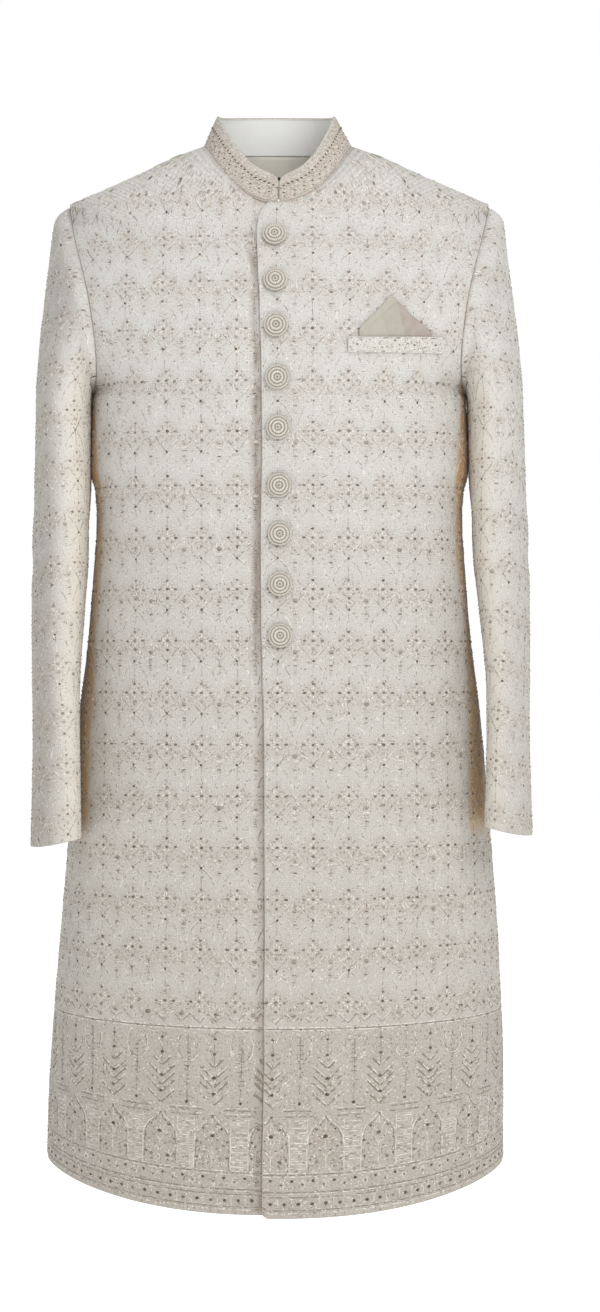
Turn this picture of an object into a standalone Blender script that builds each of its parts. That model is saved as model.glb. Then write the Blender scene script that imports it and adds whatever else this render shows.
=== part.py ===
"""Sherwani: a long buttoned coat, filled out as it hangs when worn.

Metres, +Z up. The front faces -Y and the wearer's left is +X. The origin is the centre
of the neck base, level with the points where the shoulder seams meet the collar. Every
cloth piece is a wall: its outer face is worked out from the tables below and its inner
face lies one cloth thickness further in.
"""

import math
from collections import namedtuple
from functools import lru_cache

import bmesh
import bpy
import numpy as np
from mathutils import Matrix, Vector

# ---------------------------------------------------------------- sizes
CLOTH = 0.0016  # coat cloth with its backing
COLLAR_CLOTH = 0.0022  # the stand is stiffened
TRIM_CLOTH = 0.0012  # welt and folded square
SEAM = 0.00055  # space between two sewn edges
COLLAR_SEAM = 0.0009  # space between the neckline and the collar band
CLEARANCE = 0.0004  # space between a piece and what it lies on
NORMAL_STEP = 0.004  # step, in rows or turns, for measuring a surface's slope
ROUND_STEP = 0.05  # the same round a sleeve, in armhole rows
LENGTH_SAMPLES = 65  # points along a quarter of a curve when measuring its length
HEIGHT_HALVINGS = 40  # halvings when looking for the row at a given height

LAP_SET_BACK = CLOTH + 0.0012  # how far the under front lies behind the lap
LAP_UNDER = 0.022  # how far the under front runs past the centre
LAP_MARGIN = 0.006  # how far past the lap's edge it stays fully set back
LAP_BLEND = 0.030  # width over which it then comes back out to the surface

COLLAR_HEIGHT_FRONT = 0.031
COLLAR_HEIGHT_BACK = 0.036
COLLAR_END_HEIGHT = 0.021  # height where the two ends meet
COLLAR_CORNER = 0.016  # width of the rounded corner at each end
COLLAR_LEAN = (0.800, 0.820)  # top edge over bottom edge, across and fore-and-aft
COLLAR_OPENING = 0.0012  # between the two ends
COLLAR_BACK_TURN = (60.0, 150.0)  # degrees round the neck over which it grows taller

HOOK_SIZE = (0.0013, 0.0010, 0.0020)  # half width, half depth and half height
HOOK_PLACE = (0.0012, 0.0029)  # behind and above the top of the collar's end

BUTTON_RADIUS = 0.0120
BUTTON_HEIGHT = 0.0078
BUTTON_SIDES = 18

ARMHOLE_GAP = 0.0005
SHOULDER_SLOPE = 0.42  # fall over run of the shoulder line, kept as the sleeve starts
CAP_FULLNESS = (0.0138, 0.0026)  # how far the head stands out, at the tip and underneath
CAP_CORNER = 0.020  # share of the head's length in which it turns downward
CAP_FADE = 1.25  # power with which that fullness fades down the head
CAP_SPREAD = 3.0  # how much the sleeve head spreads fore and aft, per metre off centre
CAP_BLEND_ROW = 0.25  # arm row towards which the sleeve head runs at its lower end
LEFT_ARM_SWING = 0.010  # how much further the left arm hangs out, per metre down
ARM_SWING_FROM = -0.200

FRONT_COLUMNS = 11
BACK_COLUMNS = 18
COLLAR_COLUMNS = 36
COLLAR_ROWS = 4
COLLAR_CROWDING = 1.35  # above 1 the columns crowd towards the two front ends

# Body rows from hem to neck. mid is the centre line, edge the side seam, then the armhole
# edge, then the shoulder seam. angle is how far round the section the edge lies, square
# how full the section is, lift how late the row rises towards its edge, and lap how far
# the overlapping front runs past the centre.
BodyRow = namedtuple("BodyRow", "mid_z mid_y edge_x edge_y edge_z angle square lift lap")

FRONT_ROWS = (
    BodyRow(-1.0600, -0.1750, 0.2348, 0.0100, -1.0380, 90.0, 2.0, 2.0, 0.0095),  # hem
    BodyRow(-0.9500, -0.1560, 0.2328, 0.0060, -0.9400, 90.0, 2.08, 2.0, 0.0100),
    BodyRow(-0.8300, -0.1390, 0.2262, 0.0030, -0.8280, 90.0, 2.16, 2.0, 0.0110),
    BodyRow(-0.7100, -0.1260, 0.2170, 0.0000, -0.7100, 90.0, 2.24, 2.0, 0.0120),  # hip
    BodyRow(-0.6000, -0.1165, 0.2078, 0.0000, -0.6000, 90.0, 2.3, 2.0, 0.0130),
    BodyRow(-0.5000, -0.1100, 0.1967, 0.0000, -0.5000, 90.0, 2.3, 2.0, 0.0140),
    BodyRow(-0.4000, -0.1070, 0.1883, 0.0000, -0.4000, 90.0, 2.3, 2.0, 0.0150),  # waist
    BodyRow(-0.3200, -0.1120, 0.1895, 0.0000, -0.3180, 90.0, 2.3, 2.0, 0.0160),
    BodyRow(-0.2620, -0.1165, 0.1905, 0.0000, -0.2570, 90.0, 2.3, 2.0, 0.0170),  # underarm
    BodyRow(-0.2430, -0.1180, 0.1845, -0.0500, -0.2385, 62.0, 2.3, 2.0, 0.0170),
    BodyRow(-0.2220, -0.1185, 0.1838, -0.0670, -0.2150, 55.0, 2.25, 2.0, 0.0175),
    BodyRow(-0.2000, -0.1180, 0.1862, -0.0725, -0.1900, 52.0, 2.2, 2.0, 0.0175),
    BodyRow(-0.1780, -0.1160, 0.1905, -0.0685, -0.1620, 52.0, 2.2, 2.0, 0.0180),
    BodyRow(-0.1560, -0.1120, 0.1970, -0.0560, -0.1340, 54.0, 2.2, 2.0, 0.0180),
    BodyRow(-0.1350, -0.1065, 0.2050, -0.0360, -0.1055, 58.0, 2.2, 2.1, 0.0180),
    BodyRow(-0.1180, -0.1010, 0.2118, -0.0135, -0.0790, 66.0, 2.2, 2.2, 0.0180),
    BodyRow(-0.1060, -0.0965, 0.2166, 0.0100, -0.0555, 88.0, 2.2, 2.3, 0.0180),  # tip
    BodyRow(-0.0940, -0.0915, 0.1780, 0.0090, -0.0395, 90.0, 2.2, 2.3, 0.0180),
    BodyRow(-0.0830, -0.0870, 0.1420, 0.0060, -0.0241, 90.0, 2.15, 2.3, 0.0180),
    BodyRow(-0.0740, -0.0832, 0.1080, 0.0030, -0.0082, 90.0, 2.1, 2.25, 0.0160),
    BodyRow(-0.0660, -0.0800, 0.0755, 0.0000, 0.0030, 90.0, 2.1, 2.2, 0.0090),  # neck
)
BACK_ROWS = (
    BodyRow(-1.0540, 0.1500, 0.2348, 0.0100, -1.0380, 90.0, 2.0, 2.0, 0.0),  # hem
    BodyRow(-0.9480, 0.1400, 0.2328, 0.0060, -0.9400, 90.0, 2.08, 2.0, 0.0),
    BodyRow(-0.8300, 0.1310, 0.2262, 0.0030, -0.8280, 90.0, 2.16, 2.0, 0.0),
    BodyRow(-0.7100, 0.1240, 0.2170, 0.0000, -0.7100, 90.0, 2.24, 2.0, 0.0),  # hip
    BodyRow(-0.6000, 0.1180, 0.2078, 0.0000, -0.6000, 90.0, 2.3, 2.0, 0.0),
    BodyRow(-0.5000, 0.1090, 0.1967, 0.0000, -0.5000, 90.0, 2.3, 2.0, 0.0),
    BodyRow(-0.4000, 0.1010, 0.1883, 0.0000, -0.4000, 90.0, 2.3, 2.0, 0.0),  # waist
    BodyRow(-0.3200, 0.1040, 0.1895, 0.0000, -0.3180, 90.0, 2.3, 2.0, 0.0),
    BodyRow(-0.2550, 0.1100, 0.1905, 0.0000, -0.2570, 90.0, 2.3, 2.0, 0.0),  # underarm
    BodyRow(-0.2320, 0.1125, 0.1875, 0.0480, -0.2360, 62.0, 2.3, 2.0, 0.0),
    BodyRow(-0.2080, 0.1145, 0.1880, 0.0630, -0.2100, 56.0, 2.25, 2.0, 0.0),
    BodyRow(-0.1840, 0.1155, 0.1905, 0.0680, -0.1840, 54.0, 2.2, 2.0, 0.0),
    BodyRow(-0.1580, 0.1150, 0.1945, 0.0640, -0.1560, 55.0, 2.2, 2.0, 0.0),
    BodyRow(-0.1320, 0.1120, 0.2000, 0.0540, -0.1290, 57.0, 2.2, 2.0, 0.0),
    BodyRow(-0.1050, 0.1065, 0.2065, 0.0400, -0.1030, 60.0, 2.2, 2.0, 0.0),
    BodyRow(-0.0780, 0.0995, 0.2125, 0.0250, -0.0790, 68.0, 2.2, 2.0, 0.0),
    BodyRow(-0.0520, 0.0915, 0.2166, 0.0100, -0.0555, 88.0, 2.2, 2.0, 0.0),  # tip
    BodyRow(-0.0360, 0.0850, 0.1780, 0.0090, -0.0395, 90.0, 2.2, 2.0, 0.0),
    BodyRow(-0.0220, 0.0785, 0.1420, 0.0060, -0.0241, 90.0, 2.15, 2.0, 0.0),
    BodyRow(-0.0060, 0.0720, 0.1080, 0.0030, -0.0082, 90.0, 2.1, 2.0, 0.0),
    BodyRow(0.0080, 0.0655, 0.0755, 0.0000, 0.0030, 90.0, 2.1, 2.0, 0.0),  # neck
)
UNDERARM_ROW = 8
TIP_ROW = 16
NECK_ROW = 20
EDGE_CORNERS = (UNDERARM_ROW, TIP_ROW)  # rows where the edge turns a corner
BODY_STATIONS = (0.0, 0.5, 1.0, 1.6, 2.2, 2.9, 3.6, 4.2, 4.8, 5.4, 6.0, 6.5, 7.0, 7.5)
ARMHOLE_STATIONS = (8.0, 8.5, 9.0, 9.5, 10.0, 11.0, 12.0, 13.0, 14.0, 15.0, 16.0)
SHOULDER_STATIONS = (17.0, 18.0, 19.0, 20.0)
STATIONS = BODY_STATIONS + ARMHOLE_STATIONS + SHOULDER_STATIONS

# Arm sections from the top of the arm to the cuff. twist turns the section's front edge
# towards the body, slant drops its outer side.
ArmRow = namedtuple("ArmRow", "z mid_x mid_y half_x half_y twist slant")

ARM_ROWS = (
    ArmRow(-0.2760, 0.2212, 0.0000, 0.0288, 0.0790, 3.0, 0.000),
    ArmRow(-0.3400, 0.2228, -0.0020, 0.0289, 0.0760, 5.0, 0.000),
    ArmRow(-0.4200, 0.2248, -0.0100, 0.0285, 0.0710, 7.0, 0.000),
    ArmRow(-0.4840, 0.2261, -0.0230, 0.0261, 0.0660, 8.0, 0.000),
    ArmRow(-0.5460, 0.2262, -0.0420, 0.0237, 0.0610, 9.0, 0.000),
    ArmRow(-0.6000, 0.2244, -0.0600, 0.0232, 0.0565, 10.0, 0.000),
    ArmRow(-0.6600, 0.2229, -0.0790, 0.0238, 0.0530, 10.0, -0.002),
    ArmRow(-0.7055, 0.2218, -0.0940, 0.0246, 0.0505, 10.0, -0.0045),
)
ARM_SQUARE = 2.3
CAP_LEVELS = (0.0, 0.02, 0.05, 0.11, 0.22, 0.4, 0.62, 0.82)  # shares of the sleeve head
ARM_STATIONS = (0.0, 0.5, 1.0, 1.5, 2.0, 2.5, 3.0, 3.5, 4.0, 4.6, 5.2, 6.0, 7.0)
# Places round the armhole where a sleeve's columns start, in rows from the shoulder tip:
# the upper piece runs over the tip, the under piece from the back round below to the front.
UPPER_SLEEVE = (-5.975, -5.0, -4.0, -3.0, -2.0, -1.0, 0.0, 1.0, 2.0, 3.0, 4.0, 4.975)
UNDER_SLEEVE = (5.025, 6.0, 6.5, 7.0, 7.5, 8.0, 8.5, 9.0, 9.5, 9.975)

BUTTONS = (  # across and height of each button's middle
    (-0.0030, -0.1030),
    (-0.0025, -0.1500),
    (-0.0020, -0.1950),
    (-0.0010, -0.2460),
    (-0.0005, -0.2950),
    (0.0005, -0.3520),
    (0.0010, -0.4000),
    (0.0013, -0.4500),
    (0.0015, -0.5010),
)
BUTTON_PROFILE = (  # share of the radius, share of the height
    (0.55, 0.00),
    (0.90, 0.08),
    (1.00, 0.26),
    (0.96, 0.46),
    (0.78, 0.62),
    (0.56, 0.74),
    (0.26, 0.92),
)

WELT_ENDS = ((0.0680, -0.2215, -0.2060), (0.1615, -0.2190, -0.2020))  # x, bottom, top
WELT_LIFT = (CLEARANCE, 0.0034)  # space behind the bottom edge and the top edge
WELT_COLUMNS = 12
SQUARE_OUTLINE = (  # across, top edge height of the folded square
    (0.0785, -0.1985),
    (0.0815, -0.1935),
    (0.0960, -0.1805),
    (0.1125, -0.1655),
    (0.1240, -0.1765),
    (0.1370, -0.1880),
    (0.1490, -0.1985),
)
SQUARE_BOTTOM = -0.2090
SQUARE_COLUMNS = 14
SQUARE_ROWS = 4

# The coat hangs a little off its centre plane: height, shift across.
SWAY = (
    (-1.0600, -0.0026),
    (-1.0000, -0.0023),
    (-0.9500, -0.0012),
    (-0.9200, -0.0002),
    (-0.8600, 0.0006),
    (-0.8100, 0.0016),
    (-0.7200, 0.0021),
    (-0.5000, 0.0019),
    (-0.3000, 0.0019),
    (-0.2000, 0.0014),
    (-0.1000, 0.0008),
    (-0.0410, 0.0020),
    (-0.0080, 0.0006),
    (0.0300, -0.0014),
)
LEFT_HEM_DROP = 0.0035  # how much longer the overlapping front hangs
LEFT_HEM_FADE = 0.080  # height above the hem over which that fades

# name: colour, roughness, metallic
FINISHES = {
    "coat_cloth": ((0.69, 0.65, 0.59, 1.0), 0.72, 0.0),
    "collar_cloth": ((0.60, 0.54, 0.48, 1.0), 0.70, 0.0),
    "satin": ((0.52, 0.47, 0.41, 1.0), 0.38, 0.0),
    "button_cord": ((0.50, 0.43, 0.36, 1.0), 0.60, 0.0),
    "dark_metal": ((0.10, 0.09, 0.08, 1.0), 0.40, 0.9),
}


# ---------------------------------------------------------------- tables into surfaces
def read_table(rows, station, corners=()):
    """Smoothly interpolated row of a table; the curve may turn sharply at the corners."""
    values = np.array(rows, dtype=float)
    last = len(values) - 1
    low = min(int(station), last - 1)
    share = station - low

    def slope(knot, leaving):
        starts = knot == 0 or (leaving and knot in corners)
        ends = knot == last or (not leaving and knot in corners)
        if starts:
            return values[knot + 1] - values[knot]
        if ends:
            return values[knot] - values[knot - 1]
        return (values[knot + 1] - values[knot - 1]) / 2.0

    square, cube = share**2, share**3
    return (
        values[low] * (2.0 * cube - 3.0 * square + 1.0)
        + slope(low, True) * (cube - 2.0 * square + share)
        + values[low + 1] * (3.0 * square - 2.0 * cube)
        + slope(low + 1, False) * (cube - square)
    )


@lru_cache(maxsize=None)
def body_row(rows, station):
    """One body row: its centre line runs smoothly, its edge turns at the corners."""
    smooth = BodyRow(*read_table(rows, station))
    sharp = BodyRow(*read_table(rows, station, EDGE_CORNERS))
    return sharp._replace(
        mid_z=smooth.mid_z, mid_y=smooth.mid_y, square=smooth.square, lift=smooth.lift
    )


def signed_power(value, power):
    return math.copysign(abs(value) ** power, value)


def point_on_row(row, turn):
    """Point at a share of the way from the centre line (0) to the edge (1) of a row."""
    power = 2.0 / row.square
    edge = math.radians(row.angle)
    here = edge * turn
    across = signed_power(math.sin(here), power) / math.sin(edge) ** power
    edge_depth = 1.0 - signed_power(math.cos(edge), power)
    depth = (1.0 - signed_power(math.cos(here), power)) / edge_depth
    return np.array(
        (
            row.edge_x * across,
            row.mid_y + (row.edge_y - row.mid_y) * depth,
            row.mid_z + (row.edge_z - row.mid_z) * abs(across) ** row.lift,
        )
    )


def body_point(rows, station, turn):
    return point_on_row(body_row(rows, station), turn)


def turn_at(row, across):
    """Share of the row at which it lies a distance across from the centre plane."""
    power = 2.0 / row.square
    edge = math.radians(row.angle)
    sine = (abs(across) / row.edge_x * math.sin(edge) ** power) ** (1.0 / power)
    return math.copysign(math.asin(min(sine, 1.0)) / edge, across)


def unit(vector):
    return vector / np.linalg.norm(vector)


def body_normal(rows, station, turn):
    """Outward direction of the body surface."""
    low, high = max(station - NORMAL_STEP, 0.0), min(station + NORMAL_STEP, NECK_ROW)
    before, after = turn - NORMAL_STEP, turn + NORMAL_STEP
    up = body_point(rows, high, turn) - body_point(rows, low, turn)
    round_row = body_point(rows, station, after) - body_point(rows, station, before)
    normal = unit(np.cross(round_row, up))
    return normal if rows is FRONT_ROWS else -normal


# ---------------------------------------------------------------- building solids
def material(slot):
    if slot in bpy.data.materials:
        return bpy.data.materials[slot]
    colour, roughness, metallic = FINISHES[slot]
    made = bpy.data.materials.new(slot)
    made.use_nodes = True
    shader = made.node_tree.nodes["Principled BSDF"]
    shader.inputs["Base Color"].default_value = colour
    shader.inputs["Roughness"].default_value = roughness
    shader.inputs["Metallic"].default_value = metallic
    made.diffuse_color = colour
    return made


def add_object(name, shape, slot):
    heights, shifts = zip(*SWAY)
    for vertex in shape.verts:
        vertex.co.x += float(np.interp(vertex.co.z, heights, shifts))
    bmesh.ops.recalc_face_normals(shape, faces=shape.faces)
    bmesh.ops.triangulate(shape, faces=shape.faces)
    mesh = bpy.data.meshes.new(name)
    shape.to_mesh(mesh)
    shape.free()
    mesh.materials.append(material(slot))
    made = bpy.data.objects.new(name, mesh)
    bpy.context.scene.collection.objects.link(made)
    return made


def add_wall(name, outer, inner, slot, mirrored=False):
    """Closed wall between two grids of points of the same size."""
    flip = np.array((-1.0 if mirrored else 1.0, 1.0, 1.0))
    shape = bmesh.new()
    faces = [
        [[shape.verts.new(point * flip) for point in row] for row in grid]
        for grid in (outer, inner)
    ]
    rows, columns = len(outer), len(outer[0])
    for grid in faces:
        for r in range(rows - 1):
            for c in range(columns - 1):
                corners = (grid[r][c], grid[r][c + 1], grid[r + 1][c + 1], grid[r + 1][c])
                shape.faces.new(corners)
    front, back = faces
    for r in range(rows - 1):
        for c in (0, columns - 1):
            shape.faces.new((front[r][c], front[r + 1][c], back[r + 1][c], back[r][c]))
    for c in range(columns - 1):
        for r in (0, rows - 1):
            shape.faces.new((front[r][c], front[r][c + 1], back[r][c + 1], back[r][c]))
    return add_object(name, shape, slot)


def drawn_in(points, distance):
    """The same grid with its last column moved back from a seam."""
    pulled = np.array(points)
    back = pulled[:, -2] - pulled[:, -1]
    back /= np.linalg.norm(back, axis=1)[:, None]
    pulled[:, -1] += back * distance
    return pulled


# ---------------------------------------------------------------- body panels
def body_grid(rows, turns_of, sink_of):
    """Outer points and outward directions over every station of a body panel."""
    outer, normals = [], []
    for station in STATIONS:
        row = body_row(rows, station)
        turns = turns_of(row)
        along = [body_normal(rows, station, turn) for turn in turns]
        points = [point_on_row(row, turn) for turn in turns]
        sunk = [p - n * sink_of(row, p[0]) for p, n in zip(points, along)]
        outer.append(sunk)
        normals.append(along)
    return np.array(outer), np.array(normals)


def front_turns(start_of):
    def turns(row):
        start = turn_at(row, start_of(row))
        return [start + (1.0 - start) * c / FRONT_COLUMNS for c in range(FRONT_COLUMNS + 1)]

    return turns


def smooth_share(value):
    share = min(max(value, 0.0), 1.0)
    return share * share * (3.0 - 2.0 * share)


def under_front_sink(row, across):
    """How far the under front is set back: fully behind the lap, not at all beyond it."""
    return LAP_SET_BACK * smooth_share(1.0 - (across - row.lap - LAP_MARGIN) / LAP_BLEND)


def no_sink(_row, _across):
    return 0.0


def build_fronts():
    over, normals = body_grid(FRONT_ROWS, front_turns(lambda row: -row.lap), no_sink)
    over = drawn_in(over, SEAM / 2.0)
    above_hem = (over[:, :, 2] - over[0, :, 2]) / LEFT_HEM_FADE
    over[:, :, 2] -= LEFT_HEM_DROP * np.clip(1.0 - above_hem, 0.0, 1.0)
    add_wall("front_left", over, over - normals * CLOTH, "coat_cloth")
    under, normals = body_grid(
        FRONT_ROWS, front_turns(lambda row: -LAP_UNDER), under_front_sink
    )
    under = drawn_in(under, SEAM / 2.0)
    add_wall("front_right", under, under - normals * CLOTH, "coat_cloth", mirrored=True)


def build_back():
    turns = [2.0 * c / BACK_COLUMNS - 1.0 for c in range(BACK_COLUMNS + 1)]
    outer, normals = body_grid(BACK_ROWS, lambda row: turns, no_sink)
    outer = drawn_in(outer, SEAM / 2.0)
    outer = drawn_in(outer[:, ::-1], SEAM / 2.0)[:, ::-1]
    add_wall("back", outer, outer - normals * CLOTH, "coat_cloth")


# ---------------------------------------------------------------- sleeves
def armhole_spot(around):
    """Body table and row of a place round the armhole, in rows from the shoulder tip:
    negative towards the front, positive towards the back, meeting again underneath.
    """
    half = TIP_ROW - UNDERARM_ROW
    wrapped = (around + half) % (2 * half) - half
    return (FRONT_ROWS if wrapped < 0.0 else BACK_ROWS), TIP_ROW - abs(wrapped)


def arm_row(station, swing):
    row = ArmRow(*read_table(ARM_ROWS, station))
    return row._replace(mid_x=row.mid_x + swing * (ARM_SWING_FROM - row.z))


def arm_point(row, turn):
    """Point on an arm section: 0 is the outer side, +-0.5 the front or back, 1 the inner."""
    angle = math.pi * turn
    power = 2.0 / ARM_SQUARE
    across = row.half_x * signed_power(math.cos(angle), power)
    fore = -row.half_y * signed_power(math.sin(angle), power)
    twist = math.radians(row.twist)
    x = across * math.cos(twist) + fore * math.sin(twist)
    y = -across * math.sin(twist) + fore * math.cos(twist)
    return np.array((row.mid_x + x, row.mid_y + y, row.z + row.slant * x / row.half_x))


def running_length(points):
    """Length along a line of points, from 0 at the first."""
    steps = np.linalg.norm(np.diff(np.array(points), axis=0), axis=1)
    return np.concatenate(((0.0,), np.cumsum(steps)))


@lru_cache(maxsize=None)
def armhole_share(rows, station):
    """Share of the way round half the armhole, from the shoulder tip to the underarm."""
    stations = np.linspace(TIP_ROW, UNDERARM_ROW, LENGTH_SAMPLES)
    run = running_length([body_point(rows, s, 1.0) for s in stations])
    return float(np.interp(-station, -stations, run / run[-1]))


@lru_cache(maxsize=None)
def arm_turn(row, share, sign):
    """Turn at a share of the way round half an arm section, from outer to inner side."""
    turns = np.linspace(0.0, 1.0, LENGTH_SAMPLES)
    run = running_length([arm_point(row, sign * t) for t in turns])
    return sign * float(np.interp(share, run / run[-1], turns))


def sleeve_point(around, level, swing):
    """Point of the sleeve: level 0 to 1 is the cap, and beyond that the arm rows."""
    rows, station = armhole_spot(around)
    row = arm_row(max(level - 1.0, 0.0), swing)
    share = armhole_share(rows, station)
    turn = arm_turn(row, share, 1.0 if rows is FRONT_ROWS else -1.0)
    if level >= 1.0:
        return arm_point(row, turn)
    edge = body_point(rows, station, 1.0)
    leave = unit(np.array((1.0, CAP_SPREAD * edge[1], -SHOULDER_SLOPE * (1.0 - share) ** 2)))
    start = edge + leave * ARMHOLE_GAP
    end = arm_point(row, turn)
    below = arm_point(arm_row(CAP_BLEND_ROW, swing), turn)
    arrive = unit(below - end) * np.linalg.norm(end - start)
    fullness = CAP_FULLNESS[0] + (CAP_FULLNESS[1] - CAP_FULLNESS[0]) * share
    rounded = (1.0 - math.exp(-level / CAP_CORNER)) * (1.0 - level) ** CAP_FADE
    square, cube = level**2, level**3
    return (
        start * (2.0 * cube - 3.0 * square + 1.0)
        + (end - start) * (cube - 2.0 * square + level)
        + end * (3.0 * square - 2.0 * cube)
        + arrive * (cube - square)
        + leave * fullness * rounded
    )


def sleeve_normal(around, level, swing):
    """Direction out of the sleeve."""
    low, high = max(level - NORMAL_STEP, 0.0), min(level + NORMAL_STEP, 1.0 + ARM_STATIONS[-1])
    down = sleeve_point(around, high, swing) - sleeve_point(around, low, swing)
    before, after = around - ROUND_STEP, around + ROUND_STEP
    across = sleeve_point(after, level, swing) - sleeve_point(before, level, swing)
    return unit(np.cross(down, across))


def sleeve_grid(places, swing):
    levels = [*CAP_LEVELS, *(1.0 + station for station in ARM_STATIONS)]
    outer = [[sleeve_point(place, level, swing) for place in places] for level in levels]
    normals = [[sleeve_normal(place, level, swing) for place in places] for level in levels]
    return np.array(outer), np.array(normals)


def build_sleeves():
    for side, swing, mirrored in (("left", LEFT_ARM_SWING, False), ("right", 0.0, True)):
        for part, places in (("upper", UPPER_SLEEVE), ("under", UNDER_SLEEVE)):
            outer, normals = sleeve_grid(places, swing)
            inner = outer - normals * CLOTH
            add_wall(f"sleeve_{part}_{side}", outer, inner, "coat_cloth", mirrored)


# ---------------------------------------------------------------- collar
def neck_point(angle):
    """Point of the neckline, from 0 at the centre front to 180 at the centre back."""
    rows = FRONT_ROWS if angle <= 90.0 else BACK_ROWS
    share = angle / 90.0 if angle <= 90.0 else (180.0 - angle) / 90.0
    return body_point(rows, NECK_ROW, share)


def collar_height(angle, run):
    low, high = COLLAR_BACK_TURN
    back_share = smooth_share((angle - low) / (high - low))
    full = COLLAR_HEIGHT_FRONT + (COLLAR_HEIGHT_BACK - COLLAR_HEIGHT_FRONT) * back_share
    into_corner = max(1.0 - run / COLLAR_CORNER, 0.0)
    rounded = math.sqrt(1.0 - into_corner**2)
    return COLLAR_END_HEIGHT + (full - COLLAR_END_HEIGHT) * rounded


def collar_line(angle, run):
    """Bottom and top of the collar at an angle round the neck."""
    bottom = neck_point(angle)
    height = collar_height(angle, run)
    share = height / COLLAR_HEIGHT_FRONT
    lean_x = 1.0 - (1.0 - COLLAR_LEAN[0]) * share
    lean_y = 1.0 - (1.0 - COLLAR_LEAN[1]) * share
    top = np.array((bottom[0] * lean_x, bottom[1] * lean_y, bottom[2] + height))
    start = bottom + unit(top - bottom) * COLLAR_SEAM
    return start, top


def collar_half():
    """Angles of one half, from its front end to the back, and the run from that end."""
    fine = np.linspace(0.0, 180.0, 10 * LENGTH_SAMPLES)
    run = running_length([neck_point(a) for a in fine])
    total = run[-1] - COLLAR_OPENING / 2.0
    count = COLLAR_COLUMNS // 2
    shares = [(c / count) ** COLLAR_CROWDING for c in range(count + 1)]
    runs = [COLLAR_OPENING / 2.0 + total * share for share in shares]
    return [(float(np.interp(r, run, fine)), r - COLLAR_OPENING / 2.0) for r in runs]


def build_collar():
    half = collar_half()
    columns = []
    for angle, run in half:
        start, top = collar_line(angle, run)
        columns.append([start + (top - start) * r / COLLAR_ROWS for r in range(COLLAR_ROWS + 1)])
    left = np.array(columns).transpose(1, 0, 2)
    flip = np.array((-1.0, 1.0, 1.0))
    outer = np.concatenate((left[:, :-1], left[:, ::-1] * flip), axis=1)
    up = np.gradient(outer, axis=0)
    across = np.gradient(outer, axis=1)
    across[:, 0] = (1.0, 0.0, 0.0)
    across[:, -1] = (1.0, 0.0, 0.0)
    normals = np.cross(across, up)
    normals /= np.linalg.norm(normals, axis=2)[:, :, None]
    add_wall("collar", outer, outer - normals * COLLAR_CLOTH, "collar_cloth")


def build_collar_hook():
    """A flat rounded hook head standing in the notch above the collar's meeting ends."""
    _, top = collar_line(0.0, 0.0)
    shape = bmesh.new()
    bmesh.ops.create_uvsphere(shape, u_segments=12, v_segments=8, radius=1.0)
    behind, above = HOOK_PLACE
    place = Matrix.Translation(Vector((0.0, top[1] + behind, top[2] + above)))
    size = Matrix.Diagonal((*HOOK_SIZE, 1.0))
    bmesh.ops.transform(shape, matrix=place @ size, verts=shape.verts)
    add_object("collar_hook", shape, "dark_metal")


# ---------------------------------------------------------------- trim on the left front
def chest_spot(across, height):
    """Station and turn of the left front's point at a place across and a height."""
    low, high = 0.0, float(NECK_ROW)
    for _ in range(HEIGHT_HALVINGS):
        middle = (low + high) / 2.0
        row = body_row(FRONT_ROWS, middle)
        reachable = abs(across) < row.edge_x
        if reachable and point_on_row(row, turn_at(row, across))[2] < height:
            low = middle
        else:
            high = middle
    row = body_row(FRONT_ROWS, low)
    return low, turn_at(row, across)


def chest_point(across, height, lift):
    station, turn = chest_spot(across, height)
    normal = body_normal(FRONT_ROWS, station, turn)
    return body_point(FRONT_ROWS, station, turn) + normal * lift, normal


def add_patch(name, places, lifts, slot):
    """Wall lying on the chest: places is a grid of (across, height), lifts its spacing."""
    outer, inner = [], []
    for place_row, lift_row in zip(places, lifts):
        made = [chest_point(x, z, lift) for (x, z), lift in zip(place_row, lift_row)]
        inner.append([point for point, _ in made])
        outer.append([point + normal * TRIM_CLOTH for point, normal in made])
    add_wall(name, np.array(outer), np.array(inner), slot)


def build_welt():
    (left_x, left_low, left_high), (right_x, right_low, right_high) = WELT_ENDS
    places, lifts = [], []
    for share in (0.0, 0.5, 1.0):
        row = []
        for c in range(WELT_COLUMNS + 1):
            along = c / WELT_COLUMNS
            low = left_low + (right_low - left_low) * along
            high = left_high + (right_high - left_high) * along
            row.append((left_x + (right_x - left_x) * along, low + (high - low) * share))
        places.append(row)
        lift = WELT_LIFT[0] + (WELT_LIFT[1] - WELT_LIFT[0]) * share
        lifts.append([lift] * len(row))
    add_patch("pocket_welt", places, lifts, "coat_cloth")


def build_square():
    xs, tops = zip(*SQUARE_OUTLINE)
    places, lifts = [], []
    for r in range(SQUARE_ROWS + 1):
        row = []
        for c in range(SQUARE_COLUMNS + 1):
            x = xs[0] + (xs[-1] - xs[0]) * c / SQUARE_COLUMNS
            top = float(np.interp(x, xs, tops))
            row.append((x, SQUARE_BOTTOM + (top - SQUARE_BOTTOM) * r / SQUARE_ROWS))
        places.append(row)
        lifts.append([CLEARANCE] * len(row))
    add_patch("pocket_square", places, lifts, "satin")


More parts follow.
